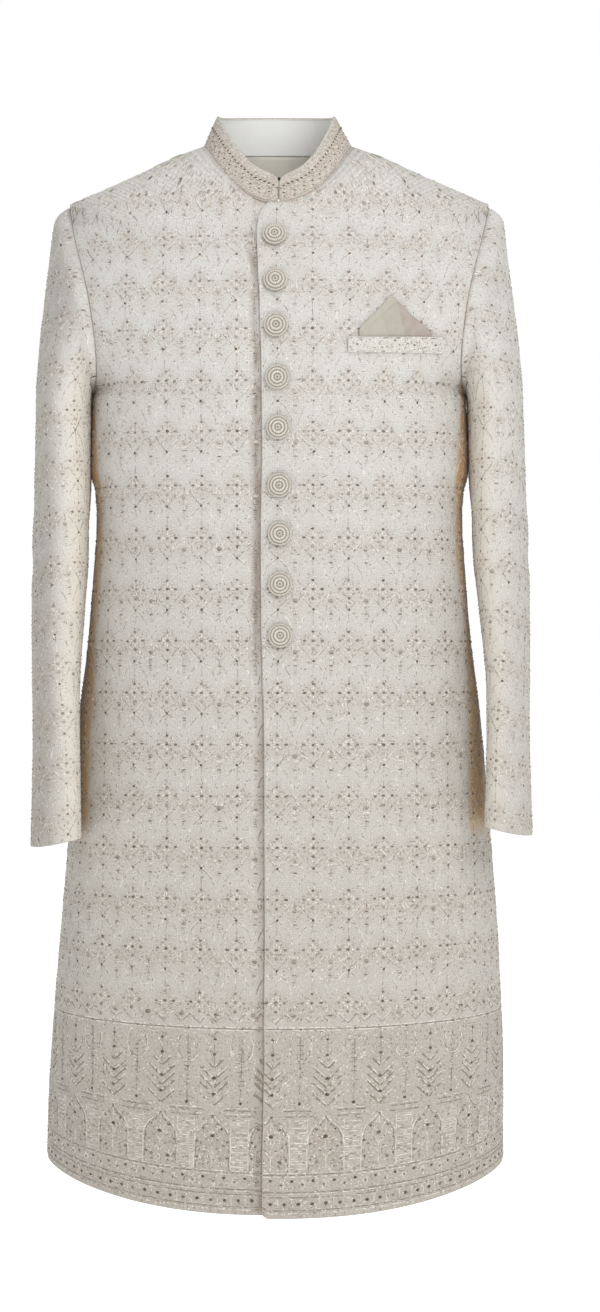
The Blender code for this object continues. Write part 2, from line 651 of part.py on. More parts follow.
def build_buttons():
    for number, (across, height) in enumerate(BUTTONS, start=1):
        seat, normal = chest_point(across, height, CLEARANCE)
        shape = bmesh.new()
        rings = []
        for share_r, share_h in BUTTON_PROFILE:
            made = bmesh.ops.create_circle(
                shape, cap_ends=False, segments=BUTTON_SIDES, radius=share_r * BUTTON_RADIUS
            )["verts"]
            bmesh.ops.translate(shape, vec=(0.0, 0.0, share_h * BUTTON_HEIGHT), verts=made)
            rings.append(made)
        for lower, upper in zip(rings, rings[1:]):
            for c in range(BUTTON_SIDES):
                d = (c + 1) % BUTTON_SIDES
                shape.faces.new((lower[c], lower[d], upper[d], upper[c]))
        shape.faces.new(rings[0])
        tip = shape.verts.new((0.0, 0.0, BUTTON_HEIGHT))
        for c in range(BUTTON_SIDES):
            shape.faces.new((rings[-1][c], rings[-1][(c + 1) % BUTTON_SIDES], tip))
        facing = Vector(normal).to_track_quat("Z", "Y").to_matrix().to_4x4()
        place = Matrix.Translation(Vector(seat)) @ facing
        bmesh.ops.transform(shape, matrix=place, verts=shape.verts)
        add_object(f"button_{number}", shape, "button_cord")


def main():
    for leftover in list(bpy.data.objects):
        bpy.data.objects.remove(leftover)
    build_fronts()
    build_back()
    build_sleeves()
    build_collar()
    build_collar_hook()
    build_welt()
    build_square()
    build_buttons()


main()
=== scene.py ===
"""Looks of a sherwani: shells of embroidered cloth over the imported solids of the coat.

Metres, +Z up; the front faces -Y and the wearer's left is +X. Embroidery is drawn flat in
millimetres, across and up the cloth, and then laid on the shell it belongs to.
"""

import math
from collections import namedtuple

import bmesh
import bpy
import numpy as np
from mathutils import Matrix, Vector


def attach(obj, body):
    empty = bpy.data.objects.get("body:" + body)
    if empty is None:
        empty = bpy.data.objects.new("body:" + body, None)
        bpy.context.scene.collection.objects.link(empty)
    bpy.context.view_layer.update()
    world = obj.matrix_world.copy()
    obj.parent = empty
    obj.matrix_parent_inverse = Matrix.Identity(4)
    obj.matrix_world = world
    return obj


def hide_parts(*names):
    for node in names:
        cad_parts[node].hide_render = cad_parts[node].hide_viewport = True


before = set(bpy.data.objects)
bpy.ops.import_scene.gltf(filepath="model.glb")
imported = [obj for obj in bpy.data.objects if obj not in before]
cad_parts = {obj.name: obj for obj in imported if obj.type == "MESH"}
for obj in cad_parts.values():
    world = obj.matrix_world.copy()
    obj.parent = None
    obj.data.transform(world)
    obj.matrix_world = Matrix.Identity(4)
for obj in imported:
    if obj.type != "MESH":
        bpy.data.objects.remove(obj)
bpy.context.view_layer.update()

MM = 0.001

# ---------------------------------------------------------------- sizes of the coat
CLOTH = 0.0016  # coat cloth with its backing
COLLAR_CLOTH = 0.0022  # the stand is stiffened
TRIM_CLOTH = 0.0012  # welt and folded square
SEAM = 0.00005  # each pressed edge stops this far short of the seam line
EDGE_TURN = (0.0003, 2.0)  # how far each turns in, and over how many mm of cloth
STITCH_SINK = -0.03  # mm by which threads and spangles start below the face
CLEARANCE = 0.0004  # space between a piece and what it lies on

LAP_SET_BACK = 0.0022  # how far the under front lies behind the lap
LAP_UNDER = 0.022  # how far the under front runs past the centre
LAP_MARGIN = 0.006  # how far past the lap's edge it stays fully set back
LAP_BLEND = 0.030  # width over which it then comes back out to the surface
LAP_GROOVE = (0.0010, 0.012)  # depth and width of the fall just outside the lap's edge
HEM_CORNER = 0.007  # radius of the rounded lower corner of the lap
LEFT_HEM_DROP = 0.0035  # how much longer the overlapping front hangs
LEFT_HEM_FADE = 0.080  # and how far up the cloth it does

COLLAR_HEIGHT_FRONT = 0.031
COLLAR_HEIGHT_BACK = 0.036
COLLAR_END_HEIGHT = 0.021  # height where the two ends meet
COLLAR_CORNER = 0.016  # width of the rounded corner at each end
COLLAR_LEAN = (0.800, 0.820)  # top edge over bottom edge, across and fore-and-aft
COLLAR_OPENING = 0.0012  # between its two ends
COLLAR_GAP = 0.0002  # each of its edges stops this far short
COLLAR_SEAM = -0.0018  # the collar starts this far below the neckline, behind it
COLLAR_BACK_TURN = (60.0, 150.0)  # degrees round the neck over which it grows taller

ARMHOLE_GAP = 0.0001  # between the sleeve and the armhole's edge
SHOULDER_SLOPE = 0.20  # how steeply the sleeve leaves the shoulder's tip
CAP_FULLNESS = (0.0158, 0.0026)  # how far the sleeve head stands out, at the tip and below
CAP_CORNER = 0.020  # share of the head over which it gets there
CAP_FADE = 1.25  # how fast it then falls away
CAP_SPREAD = 3.0  # how much the head turns to the front and back as it leaves the armhole
CAP_BLEND_ROW = 0.25  # row of the arm whose direction the head takes up
ARM_SWING_FROM = -0.200  # height from which the left sleeve swings out
LEFT_ARM = 0.010  # how far the wearer's left sleeve swings out for each metre down
LEFT_ARM_EASE = (  # height, how much slimmer on its inner side, how much shorter
    (-0.7055, 0.0014, 0.0112),
    (-0.6600, 0.0020, 0.0090),
    (-0.6000, 0.0024, 0.0065),
    (-0.5460, 0.0022, 0.0045),
    (-0.4840, 0.0014, 0.0025),
    (-0.4200, 0.0004, 0.0010),
    (-0.3400, 0.0000, 0.0000),
)
ROW_STEP = 0.0062  # spacing of a shell's rows up the cloth
COLUMN_STEP = 0.0052  # and of its columns across
HEM_ROWS = (0.0009, 0.0022, 0.0040)  # extra rows close to the hem
FRONT_COLUMNS, BACK_COLUMNS = int(0.26 / COLUMN_STEP), int(0.46 / COLUMN_STEP)
EDGE_START, EDGE_END = (0.12, 0.32, 0.6), (0.12, 0.4)  # extra columns, in shares of a step
FINE = 65  # samples when a length along a curve is measured
PLACE_STEP = 2.0  # mm between the places at which a surface is looked up
COLLAR_STEP = 0.0034  # spacing of the collar's columns, which crowd to its ends
COLLAR_CROWDING = 1.2  # how much they crowd
COLLAR_EDGE_ROWS = (0.03, 0.955, 0.98)  # extra rows, in shares of its height
COLLAR_ROUNDING = 0.0009  # how far its folded top edge turns in
COLLAR_FOLD = 0.93  # share of its height where that starts
COLLAR_BAND = 21.4  # mm up to the plain band along its top
CLOTH_NOTES = ("painted_glow_and_shade", "border", "shade", "crowded")  # what coat cloth has at each point: painted light and bounce, border work, painted shade, crowding

# Body rows from hem to neck: the centre line, the edge, how far round the section the edge
# lies, how full the section is, how late the row rises to its edge, and the front's lap.
BodyRow = namedtuple(
    "BodyRow", "mid_z mid_y edge_x edge_y edge_z angle square lift lap", defaults=(2.0, 0.0))

FRONT_ROWS = tuple(BodyRow(*row) for row in (
    (-1.0600, -0.1750, 0.2348, 0.0100, -1.0325, 90.0, 2.05, 2.4, 0.0112),  # hem
    (-0.9500, -0.1560, 0.2328, 0.0060, -0.9400, 90.0, 2.08, 2.0, 0.0118),
    (-0.8300, -0.1390, 0.2262, 0.0030, -0.8280, 90.0, 2.16, 2.0, 0.0132),
    (-0.7100, -0.1260, 0.2170, 0.0000, -0.7100, 90.0, 2.24, 2.0, 0.0142),  # hip
    (-0.6000, -0.1165, 0.2078, 0.0000, -0.6000, 90.0, 2.3, 2.0, 0.0146),
    (-0.5000, -0.1100, 0.1967, 0.0000, -0.5000, 90.0, 2.3, 2.0, 0.0172),
    (-0.4000, -0.1070, 0.1883, 0.0000, -0.4000, 90.0, 2.3, 2.0, 0.0178),  # waist
    (-0.3560, -0.1096, 0.1889, 0.0000, -0.3545, 90.0, 2.3, 2.0, 0.0172),
    (-0.3380, -0.1108, 0.1936, 0.0000, -0.3362, 90.0, 2.3, 2.0, 0.0168),
    (-0.3100, -0.1127, 0.1938, 0.0000, -0.3080, 90.0, 2.3, 2.0, 0.0165),
    (-0.2620, -0.1165, 0.1918, 0.0000, -0.2570, 90.0, 2.3, 2.0, 0.0168),  # underarm
    (-0.2430, -0.1180, 0.1845, -0.0500, -0.2385, 62.0, 2.3, 2.0, 0.0168),
    (-0.2220, -0.1185, 0.1838, -0.0670, -0.2150, 55.0, 2.25, 2.0, 0.0170),
    (-0.2000, -0.1180, 0.1862, -0.0725, -0.1900, 52.0, 2.2, 2.0, 0.0175),
    (-0.1780, -0.1160, 0.1905, -0.0685, -0.1620, 52.0, 2.2, 2.0, 0.0180),
    (-0.1560, -0.1120, 0.1970, -0.0560, -0.1340, 54.0, 2.2, 2.0, 0.0188),
    (-0.1350, -0.1065, 0.2050, -0.0360, -0.1055, 58.0, 2.2, 2.1, 0.0198),
    (-0.1180, -0.1010, 0.2118, -0.0135, -0.0790, 66.0, 2.2, 2.2, 0.0206),
    (-0.1060, -0.0965, 0.2166, 0.0100, -0.0555, 88.0, 2.2, 2.3, 0.0210),  # tip
    (-0.0940, -0.0915, 0.1780, 0.0090, -0.0395, 90.0, 2.2, 2.3, 0.0208),
    (-0.0830, -0.0870, 0.1420, 0.0060, -0.0241, 90.0, 2.15, 2.3, 0.0196),
    (-0.0740, -0.0832, 0.1080, 0.0030, -0.0082, 90.0, 2.1, 2.25, 0.0160),
    (-0.0660, -0.0800, 0.0755, 0.0000, 0.0030, 90.0, 2.1, 2.2, 0.0090),  # neck
))
BACK_ROWS = tuple(BodyRow(*row) for row in (
    (-1.0540, 0.1500, 0.2348, 0.0100, -1.0325, 90.0, 2.0),  # hem
    (-0.9480, 0.1400, 0.2328, 0.0060, -0.9400, 90.0, 2.08),
    (-0.8300, 0.1310, 0.2262, 0.0030, -0.8280, 90.0, 2.16),
    (-0.7100, 0.1240, 0.2170, 0.0000, -0.7100, 90.0, 2.24),  # hip
    (-0.6000, 0.1180, 0.2078, 0.0000, -0.6000, 90.0, 2.3),
    (-0.5000, 0.1090, 0.1967, 0.0000, -0.5000, 90.0, 2.3),
    (-0.4000, 0.1010, 0.1883, 0.0000, -0.4000, 90.0, 2.3),  # waist
    (-0.3560, 0.1026, 0.1889, 0.0000, -0.3545, 90.0, 2.3),
    (-0.3380, 0.1034, 0.1936, 0.0000, -0.3362, 90.0, 2.3),
    (-0.3100, 0.1049, 0.1938, 0.0000, -0.3080, 90.0, 2.3),
    (-0.2550, 0.1100, 0.1918, 0.0000, -0.2570, 90.0, 2.3),  # underarm
    (-0.2320, 0.1125, 0.1875, 0.0480, -0.2360, 62.0, 2.3),
    (-0.2080, 0.1145, 0.1880, 0.0630, -0.2100, 56.0, 2.25),
    (-0.1840, 0.1155, 0.1905, 0.0680, -0.1840, 54.0, 2.2),
    (-0.1580, 0.1150, 0.1945, 0.0640, -0.1560, 55.0, 2.2),
    (-0.1320, 0.1120, 0.2000, 0.0540, -0.1290, 57.0, 2.2),
    (-0.1050, 0.1065, 0.2065, 0.0400, -0.1030, 60.0, 2.2),
    (-0.0780, 0.0995, 0.2125, 0.0250, -0.0790, 68.0, 2.2),
    (-0.0520, 0.0915, 0.2166, 0.0100, -0.0555, 88.0, 2.2),  # tip
    (-0.0360, 0.0850, 0.1780, 0.0090, -0.0395, 90.0, 2.2),
    (-0.0220, 0.0785, 0.1420, 0.0060, -0.0241, 90.0, 2.15),
    (-0.0060, 0.0720, 0.1080, 0.0030, -0.0082, 90.0, 2.1),
    (0.0080, 0.0655, 0.0755, 0.0000, 0.0030, 90.0, 2.1),  # neck
))
UNDERARM_ROW = 10
TIP_ROW = 18
NECK_ROW = 22
EDGE_CORNERS = (UNDERARM_ROW, TIP_ROW)  # rows where the edge turns a corner

# Arm sections from the top of the arm to the cuff.
ArmRow = namedtuple("ArmRow", "z mid_x mid_y half_x half_y twist slant")

ARM_ROWS = tuple(ArmRow(*row) for row in (
    (-0.2760, 0.2212, 0.0000, 0.0288, 0.0790, 3.0, 0.000),
    (-0.3400, 0.2228, -0.0020, 0.0289, 0.0760, 5.0, 0.000),
    (-0.4200, 0.2248, -0.0100, 0.0285, 0.0710, 7.0, 0.000),
    (-0.4840, 0.2261, -0.0230, 0.0261, 0.0660, 8.0, 0.000),
    (-0.5460, 0.2262, -0.0420, 0.0237, 0.0610, 9.0, 0.000),
    (-0.6000, 0.2244, -0.0600, 0.0232, 0.0565, 10.0, 0.000),
    (-0.6600, 0.2229, -0.0790, 0.0238, 0.0530, 10.0, -0.002),
    (-0.7055, 0.2218, -0.0940, 0.0246, 0.0505, 10.0, -0.0045),
))
ARM_SQUARE = 2.3  # how full an arm section is
CAP_LEVELS = (  # shares of the way down the sleeve head, closer at the armhole
    0.0, 0.008, 0.02, 0.035, 0.05, 0.08, 0.11, 0.16, 0.22, 0.29, 0.36, 0.44,
    *np.linspace(0.52, 0.98, 9))
ARM_STATIONS = 74  # rows from there to the cuff
CUFF_STATIONS = (0.02, 0.05, 0.1)  # and extra ones, in table rows before its end
UPPER_SLEEVE = (-6.975, 4.975)  # where each piece starts and ends round the armhole
UNDER_SLEEVE = (5.025, 8.975)
UPPER_COLUMNS, UNDER_COLUMNS = 44, 26

BUTTONS = (  # across and height of each button's middle
    (-0.0030, -0.1030),
    (-0.0025, -0.1500),
    (-0.0020, -0.1950),
    (-0.0010, -0.2460),
    (-0.0005, -0.2950),
    (0.0005, -0.3520),
    (0.0010, -0.4000),
    (0.0013, -0.4500),
    (0.0015, -0.5010),
)
WELT_ENDS = ((0.0680, -0.2215, -0.2060), (0.1615, -0.2190, -0.2020))  # x, bottom, top

SWAY = (  # height and shift across: the coat hangs a little off its centre plane
    (-1.0600, -0.0026),
    (-1.0000, -0.0023),
    (-0.9500, -0.0012),
    (-0.9200, -0.0002),
    (-0.8600, 0.0006),
    (-0.8100, 0.0016),
    (-0.7200, 0.0021),
    (-0.5000, 0.0019),
    (-0.3000, 0.0019),
    (-0.2000, 0.0014),
    (-0.1000, 0.0008),
    (-0.0410, 0.0020),
    (-0.0080, 0.0006),
    (0.0300, -0.0014),
)

# ---------------------------------------------------------------- painted light and shade on the cloth
LAP_REACH = 0.0090  # how far out from the lap's edge its painted shadow reaches
LAP_EDGE = 0.0042  # how far out that painted shadow is lighter again, where no face is seen
OUTER_SHADE = (0.0, 0.24)  # painted shade on the side turned from the light, on the wearer's left sleeve and on the right one
LAP_SHADE = ((0.0, 500.0, 970.0, 990.0), (0.78, 0.70, 0.60, 0.0))  # mm up, and how dark the painted shadow of the lap is there
PAINTED_BOUNCE_FROM = (  # height, how far out the painted strip of golden bounce light and fold shade starts, wearer's right and left, its blend
    (-0.710, 0.1890, 0.1885, 0.0060),
    (-0.600, 0.1880, 0.1885, 0.0065),
    (-0.560, 0.1835, 0.1885, 0.0065),
    (-0.480, 0.1820, 0.1850, 0.0070),
    (-0.420, 0.1755, 0.1752, 0.0075),
    (-0.356, 0.1755, 0.1742, 0.0080),
    (-0.338, 0.1805, 0.1762, 0.0080),
    (-0.300, 0.1828, 0.1798, 0.0065),
    (-0.250, 0.1840, 0.1826, 0.0050),
    (-0.200, 0.1850, 0.1838, 0.0030),
)
PAINTED_BOUNCE_FOOT, PAINTED_BOUNCE_HEAD, FOLD_SHADE_FOOT = -0.708, -0.14, -0.36  # heights where the painted strip, and its darker fold shade, fade out
PAINTED_BOUNCE_BACK = ((-0.62, -0.54), (-0.022, -0.002))  # heights, and how far back it reaches there
GLOW_HEAD = -0.16  # height from which the sleeves get painted light on their inner side

# ---------------------------------------------------------------- embroidery, in millimetres
MOTIF_PITCH = 35.6  # between columns of motifs
MOTIF_RISE = 51.05  # between rows on a sleeve
BORDER_TOP = 177.6  # the raised line over the border
BORDER_PITCH = 53.4  # between the trees of the border
BORDER_TREES = 8  # to each side of the first one
SMALL_PITCH, LADDER_PITCH = 20.7, 13.6  # between the small shapes in the two bands below
OPENING_FROM, OPENING_BLEND = 760.0, 180.0  # from where the columns open out, and over what
SPANGLE_HEIGHT = 0.95  # mm over the cloth
CROWDING_REACH = 6.5  # how far round a spangle the cloth looks busier
FULLY_CROWDED = 1.6  # tens of square mm of spangles near a place that make it look full
BAND = 40.0  # height of the bands in which crowding is worked out
STREWN = (0.75, 0.12)  # share of strewn stitches kept far from spangles, in the border and above
ROW_HEIGHTS = (  # of the rows above the border, with the lowest first
    202.8, 254.3, 303.5, 354.0, 404.6, 455.5, 506.7, 558.3, 609.5, 660.5, 712.3, 765.8, 815.5,
    866.7, 916.0, 965.5, 1015.0, 1064.0,
)
WIDEST = 340.0  # half the width that a body panel may have
MIDDLE_TONE = 0.62  # of thread that hardly shows against the cloth
CHEST_FROM, CHEST_FADE = 520.0, 0.4  # height above which contrast fades, and by how much
PALER_UP = ((600.0, 200.0, 0.12), (860.0, 100.0, 0.12))  # spangles: from, over, how much
LEVEL_FROM, LEVEL_BLEND = 760.0, 140.0  # from where rows are kept level, and over what
SLEEVE_PALER = 0.16  # how much paler the spangles are on the sleeves

Line = namedtuple("Line", "across up to_across to_up width tone", defaults=(0.15,))
Dot = namedtuple("Dot", "across up half_width half_height tone", defaults=(0.12,))

# A motif, from its middle, and the cup between two columns: lines on one side of each, which
# get mirrored, lines on its middle, and spangles.
MOTIF_LINES = tuple(Line(*row) for row in (
    (3.1, 0.0, 5.6, 0.0, 1.0, 0.72),
    (1.9, 1.9, 3.6, 3.6, 1.0, 0.72),
    (1.9, -1.9, 3.6, -3.6, 1.0, 0.72),
    (11.4, 0.0, 15.2, 0.0, 0.7, 0.50),  # towards the next column
    (1.2, -19.2, 12.6, -6.4, 0.80, 0.34),  # a V over the lower spangle
    (1.6, -17.6, 12.4, -5.2, 0.80, 0.62),
))
MOTIF_STEM = tuple(Line(*row) for row in (
    (0.0, 3.2, 0.0, 5.8, 1.0, 0.75),
    (0.0, -3.2, 0.0, -5.6, 1.0, 0.75),
    (0.0, -22.0, 0.0, -41.4, 0.75, 0.45),
))
OGEE = ((0.8, -21.4), (5.2, -24.8), (9.6, -29.6), (13.0, -36.0), (15.4, -43.6))
CUP_LINES = tuple(Line(*row) for row in (
    (0.0, -27.4, 1.7, -27.4, 0.8, 0.45),
    (0.0, -29.6, 1.6, -29.6, 0.8, 0.45),
    (0.0, -31.8, 1.5, -31.8, 0.8, 0.45),
    (0.0, -34.0, 1.3, -34.0, 0.8, 0.45),
    (3.4, -8.4, 2.2, -5.4, 0.9, 0.66),
    (0.0, -16.6, 3.0, -15.8, 0.9, 0.66),
    (0.0, -19.4, 2.4, -19.0, 0.8, 0.45),
))
CUP_STEM = tuple(Line(*row) for row in (
    (0.0, -2.4, 0.0, -8.0, 0.9, 0.45),
    (0.0, -21.0, 0.0, -23.6, 0.8, 0.45),
))
MOTIF_DOTS = tuple(Dot(*row) for row in (
    (0.0, 0.0, 1.85, 1.50, 0.46),
    (8.9, 0.0, 2.00, 1.20, 0.50),
    (-8.9, 0.0, 2.00, 1.20, 0.50),
    (0.0, 8.8, 1.65, 1.40, 0.42),
    (0.0, -8.9, 1.95, 1.70, 0.66),
    (0.4, -20.4, 1.40, 1.40, 0.15),
    (4.6, 4.5, 1.10, 0.90, 0.92),
    (-4.6, 4.5, 1.10, 0.90, 0.92),
    (4.5, -4.3, 1.20, 0.95, 0.88),
    (-4.5, -4.3, 1.20, 0.95, 0.88),
))
CUP_DOTS = tuple(Dot(*row) for row in (
    (0.0, -11.4, 3.05, 1.95, 0.80),
    (0.0, -12.6, 1.90, 1.00, 0.45),
    (0.0, -25.0, 2.40, 0.75, 0.60),
))
LAST_ROW_CUT = -15.0  # what lies lower is left out of the row just over the border
ROOF = ((0.0, -18.2), (9.4, -9.0), (17.8, -17.4))  # one side of the lines that end that row

# The border's trees: height and reach of each pair of branches, then leaves and spangles.
TREE_BRANCHES = ((139.6, 9.0), (128.1, 13.6), (120.4, 13.6), (113.3, 13.6), (103.0, 13.6))
ARCH_LEAVES = (
    ((0.6, 56.0), (5.6, 61.5), (9.2, 60.2)),
    ((0.6, 65.0), (5.0, 71.5), (8.4, 74.0)),
    ((3.0, 78.0), (6.4, 84.0)),
)
TREE_DOTS = tuple(Dot(*row) for row in (
    (0.0, 167.1, 1.9, 1.2), (0.0, 152.3, 2.1, 1.6), (0.0, 129.5, 2.4, 1.7),
    (0.0, 114.2, 2.3, 1.8), (0.0, 93.0, 1.5, 1.2, 0.35), (0.0, 74.3, 2.5, 1.9),
))
TREE_SIDE_DOTS = tuple(Dot(*row) for row in (
    (9.0, 80.8, 1.6, 1.2, 0.35), (15.2, 68.0, 1.6, 1.1, 0.4), (11.2, 65.0, 1.6, 1.0, 0.6),
    (14.8, 53.2, 1.5, 1.2, 0.35), (8.6, 51.0, 2.3, 1.7, 0.6), (9.0, 46.6, 1.5, 1.1, 0.6),
    (5.2, 61.6, 1.3, 0.9, 0.6), (4.8, 85.0, 1.2, 0.9, 0.65), (5.4, 70.4, 1.3, 0.9, 0.65),
))
MAST_DOTS = (Dot(0.0, 177.2, 1.3, 0.9), Dot(0.0, 105.7, 2.0, 1.7), Dot(0.0, 139.9, 1.0, 0.8))


def signed_power(value, power):
    return np.copysign(np.abs(value) ** power, value)


def unit(vectors):
    return vectors / np.linalg.norm(vectors, axis=-1, keepdims=True)


def smooth_share(value):
    share = np.clip(value, 0.0, 1.0)
    return share * share * (3.0 - 2.0 * share)


def part_way(start, end, share):
    return start + (end - start) * share


def looked_up(table, at):
    """What the columns of a table say at values of its first one, which rises."""
    known, *columns = zip(*table)
    return [np.interp(at, known, column) for column in columns]


def eased_in(value, start, over):
    """0 up to a start, 1 from so far past it, and smooth between; over may be negative."""
    return smooth_share((value - start) / over)


def running_length(points):
    """Length along a line of points, from 0 at the first."""
    steps = np.linalg.norm(np.diff(points, axis=0), axis=-1)
    return np.concatenate(((0.0,), np.cumsum(steps)))


def lengths_mm(points):
    """Length along each row of a grid of points."""
    return np.array([running_length(line) for line in points]) / MM


def curve(start, leave, end, arrive, share):
    """Between two values, with the slopes at which the curve leaves one and arrives."""
    square, cube = share**2, share**3
    return (
        start * (2.0 * cube - 3.0 * square + 1.0) + leave * (cube - 2.0 * square + share)
        + end * (3.0 * square - 2.0 * cube) + arrive * (cube - square))


# ---------------------------------------------------------------- tables into surfaces
def read_table(rows, stations, corners=()):
    """Smoothly interpolated rows of a table; the curve may turn sharply at the corners."""
    values = np.array(rows, dtype=float)
    stations = np.atleast_1d(np.asarray(stations, dtype=float))
    low = np.minimum(stations.astype(int), len(values) - 2)
    share = (stations - low)[:, None]
    inner = (values[2:] - values[:-2]) / 2.0
    leaving = np.vstack((values[1] - values[0], inner, values[-1] - values[-2]))
    arriving = leaving.copy()
    for knot in corners:
        leaving[knot] = values[knot + 1] - values[knot]
        arriving[knot] = values[knot] - values[knot - 1]
    return curve(values[low], leaving[low], values[low + 1], arriving[low + 1], share)


def body_rows(rows, stations):
    """Body rows: their centre line runs smoothly, their edge turns at the corners."""
    smooth = read_table(rows, stations)
    sharp = read_table(rows, stations, EDGE_CORNERS)
    for name in ("mid_z", "mid_y", "square", "lift"):
        column = BodyRow._fields.index(name)
        sharp[:, column] = smooth[:, column]
    return BodyRow(*sharp.T[:, :, None])


def points_on_rows(row, turns):
    """Points at shares of the way from the centre line (0) to the edge (1) of body rows."""
    power = 2.0 / row.square
    edge = np.radians(row.angle)
    here = edge * turns
    across = signed_power(np.sin(here), power) / np.sin(edge) ** power
    edge_depth = 1.0 - signed_power(np.cos(edge), power)
    depth = (1.0 - signed_power(np.cos(here), power)) / edge_depth
    z = row.mid_z + (row.edge_z - row.mid_z) * np.abs(across) ** row.lift
    return np.stack((row.edge_x * across, row.mid_y + (row.edge_y - row.mid_y) * depth, z), -1)


def turn_at(row, across):
    """Share of body rows at which they lie a distance across from the centre plane."""
    power = 2.0 / row.square
    edge = np.radians(row.angle)
    sine = (np.abs(across) / row.edge_x * np.sin(edge) ** power) ** (1.0 / power)
    return np.copysign(np.arcsin(np.minimum(sine, 1.0)) / edge, across)


def even_stations(rows):
    """Table stations evenly spaced up the cloth, closer at the hem, with every corner."""
    fine = np.linspace(0.0, NECK_ROW, 40 * NECK_ROW + 1)
    line = points_on_rows(body_rows(rows, fine), np.zeros((len(fine), 1)))[:, 0]
    run = running_length(line)
    heights = np.linspace(0.0, run[-1], int(run[-1] / ROW_STEP) + 1)
    heights = np.concatenate((heights, HEM_ROWS))
    corners = np.arange(UNDERARM_ROW, NECK_ROW + 1.0)
    stations = np.unique(np.concatenate((np.interp(heights, run, fine), corners)))
    return stations, np.interp(stations, fine, run) / MM


def edge_spacing(count, close_start, close_end):
    """Shares from 0 to 1, with extra ones close to an edge that gets rounded."""
    shares = list(np.linspace(0.0, 1.0, count + 1))
    if close_start:
        shares += [near / count for near in EDGE_START]
    if close_end:
        shares += [1.0 - near / count for near in EDGE_END]
    return np.unique(np.round(shares, 6))


def swayed(points):
    """The same points, shifted across as the coat hangs."""
    moved = points.copy()
    moved[..., 0] += looked_up(SWAY, points[..., 2])[0]
    return moved


def grid_normals(points, outward):
    along = np.gradient(points, axis=1)
    up = np.gradient(points, axis=0)
    return unit(np.cross(along, up)) * outward


class Panel:
    """A cloth surface: rows of points up the cloth, with the place of each in millimetres
    across and up, on which shells, stitches and trimmings are laid."""

    def __init__(self, points, across, up, outward):
        self.points = swayed(points)
        self.across = across
        self.up = np.broadcast_to(up[:, None], across.shape) if up.ndim == 1 else up
        self.outward = outward
        self.normals = grid_normals(self.points, outward)
        self.square = None

    def pushed(self, heights):
        """The same surface, moved out along its normals by heights in metres."""
        self.points = self.points + self.normals * heights[..., None]
        self.normals = grid_normals(self.points, self.outward)
        self.square = None
        return self

    def squared(self):
        """Points and normals again on a square grid of places, for laying things on it."""
        if self.square is None:
            known = np.concatenate((self.points, self.normals, self.up[..., None]), -1)
            self.low = np.array((self.across.min(), self.up.min()))
            high = np.array((self.across.max(), self.up.max()))
            counts = ((high - self.low) / PLACE_STEP).astype(int) + 2
            columns = self.low[0] + PLACE_STEP * np.arange(counts[0])
            rows = self.low[1] + PLACE_STEP * np.arange(counts[1])
            kinds = known.shape[-1]  # the last of them is the place up the cloth
            wide = np.empty((len(known), counts[0], kinds))
            for r, line in enumerate(known):
                for i in range(kinds):
                    wide[r, :, i] = np.interp(columns, self.across[r], line[:, i])
            self.square = np.empty((counts[1], counts[0], kinds - 1))
            for c in range(counts[0]):
                line = wide[np.argsort(wide[:, c, -1]), c]
                for i in range(kinds - 1):
                    self.square[:, c, i] = np.interp(rows, line[:, -1], line[:, i])
        return self.square

    def inside(self, across, up, margin):
        """Which places lie on the panel, at least margin millimetres from its edges."""
        low = np.interp(up, self.up[:, 0], self.across[:, 0]) + margin
        high = np.interp(up, self.up[:, -1], self.across[:, -1]) - margin
        bottom = np.interp(across, self.across[0], self.up[0]) + margin
        top = np.interp(across, self.across[-1], self.up[-1]) - margin
        return (across > low) & (across < high) & (up > bottom) & (up < top)

    def lay(self, across, up, height):
        """World points at places across and up the cloth, a height in mm over it."""
        grid = self.squared()
        place = (np.stack((across, up), -1) - self.low) / PLACE_STEP
        place = np.clip(place, 0.0, np.array(grid.shape[1::-1]) - 1.001)
        c, r = place.astype(int).T
        along, rise = (place - place.astype(int)).T[:, :, None]
        low = grid[r, c] * (1.0 - along) + grid[r, c + 1] * along
        high = grid[r + 1, c] * (1.0 - along) + grid[r + 1, c + 1] * along
        found = low * (1.0 - rise) + high * rise
        return found[:, :3] + found[:, 3:] * (height * MM)[:, None]

    def spot(self, x, z):
        """Place in mm across and up where a front has that world x and height."""
        grid = self.squared()
        columns = self.low[0] + PLACE_STEP * np.arange(grid.shape[1])
        heights, places = [], []
        for line in grid:
            order = np.argsort(line[:, 0])
            heights.append(np.interp(x, line[order, 0], line[order, 2]))
            places.append(np.interp(x, line[order, 0], columns[order]))
        r = float(np.interp(z, heights, np.arange(len(heights))))
        return float(np.interp(r, np.arange(len(places)), places)), self.low[1] + PLACE_STEP * r


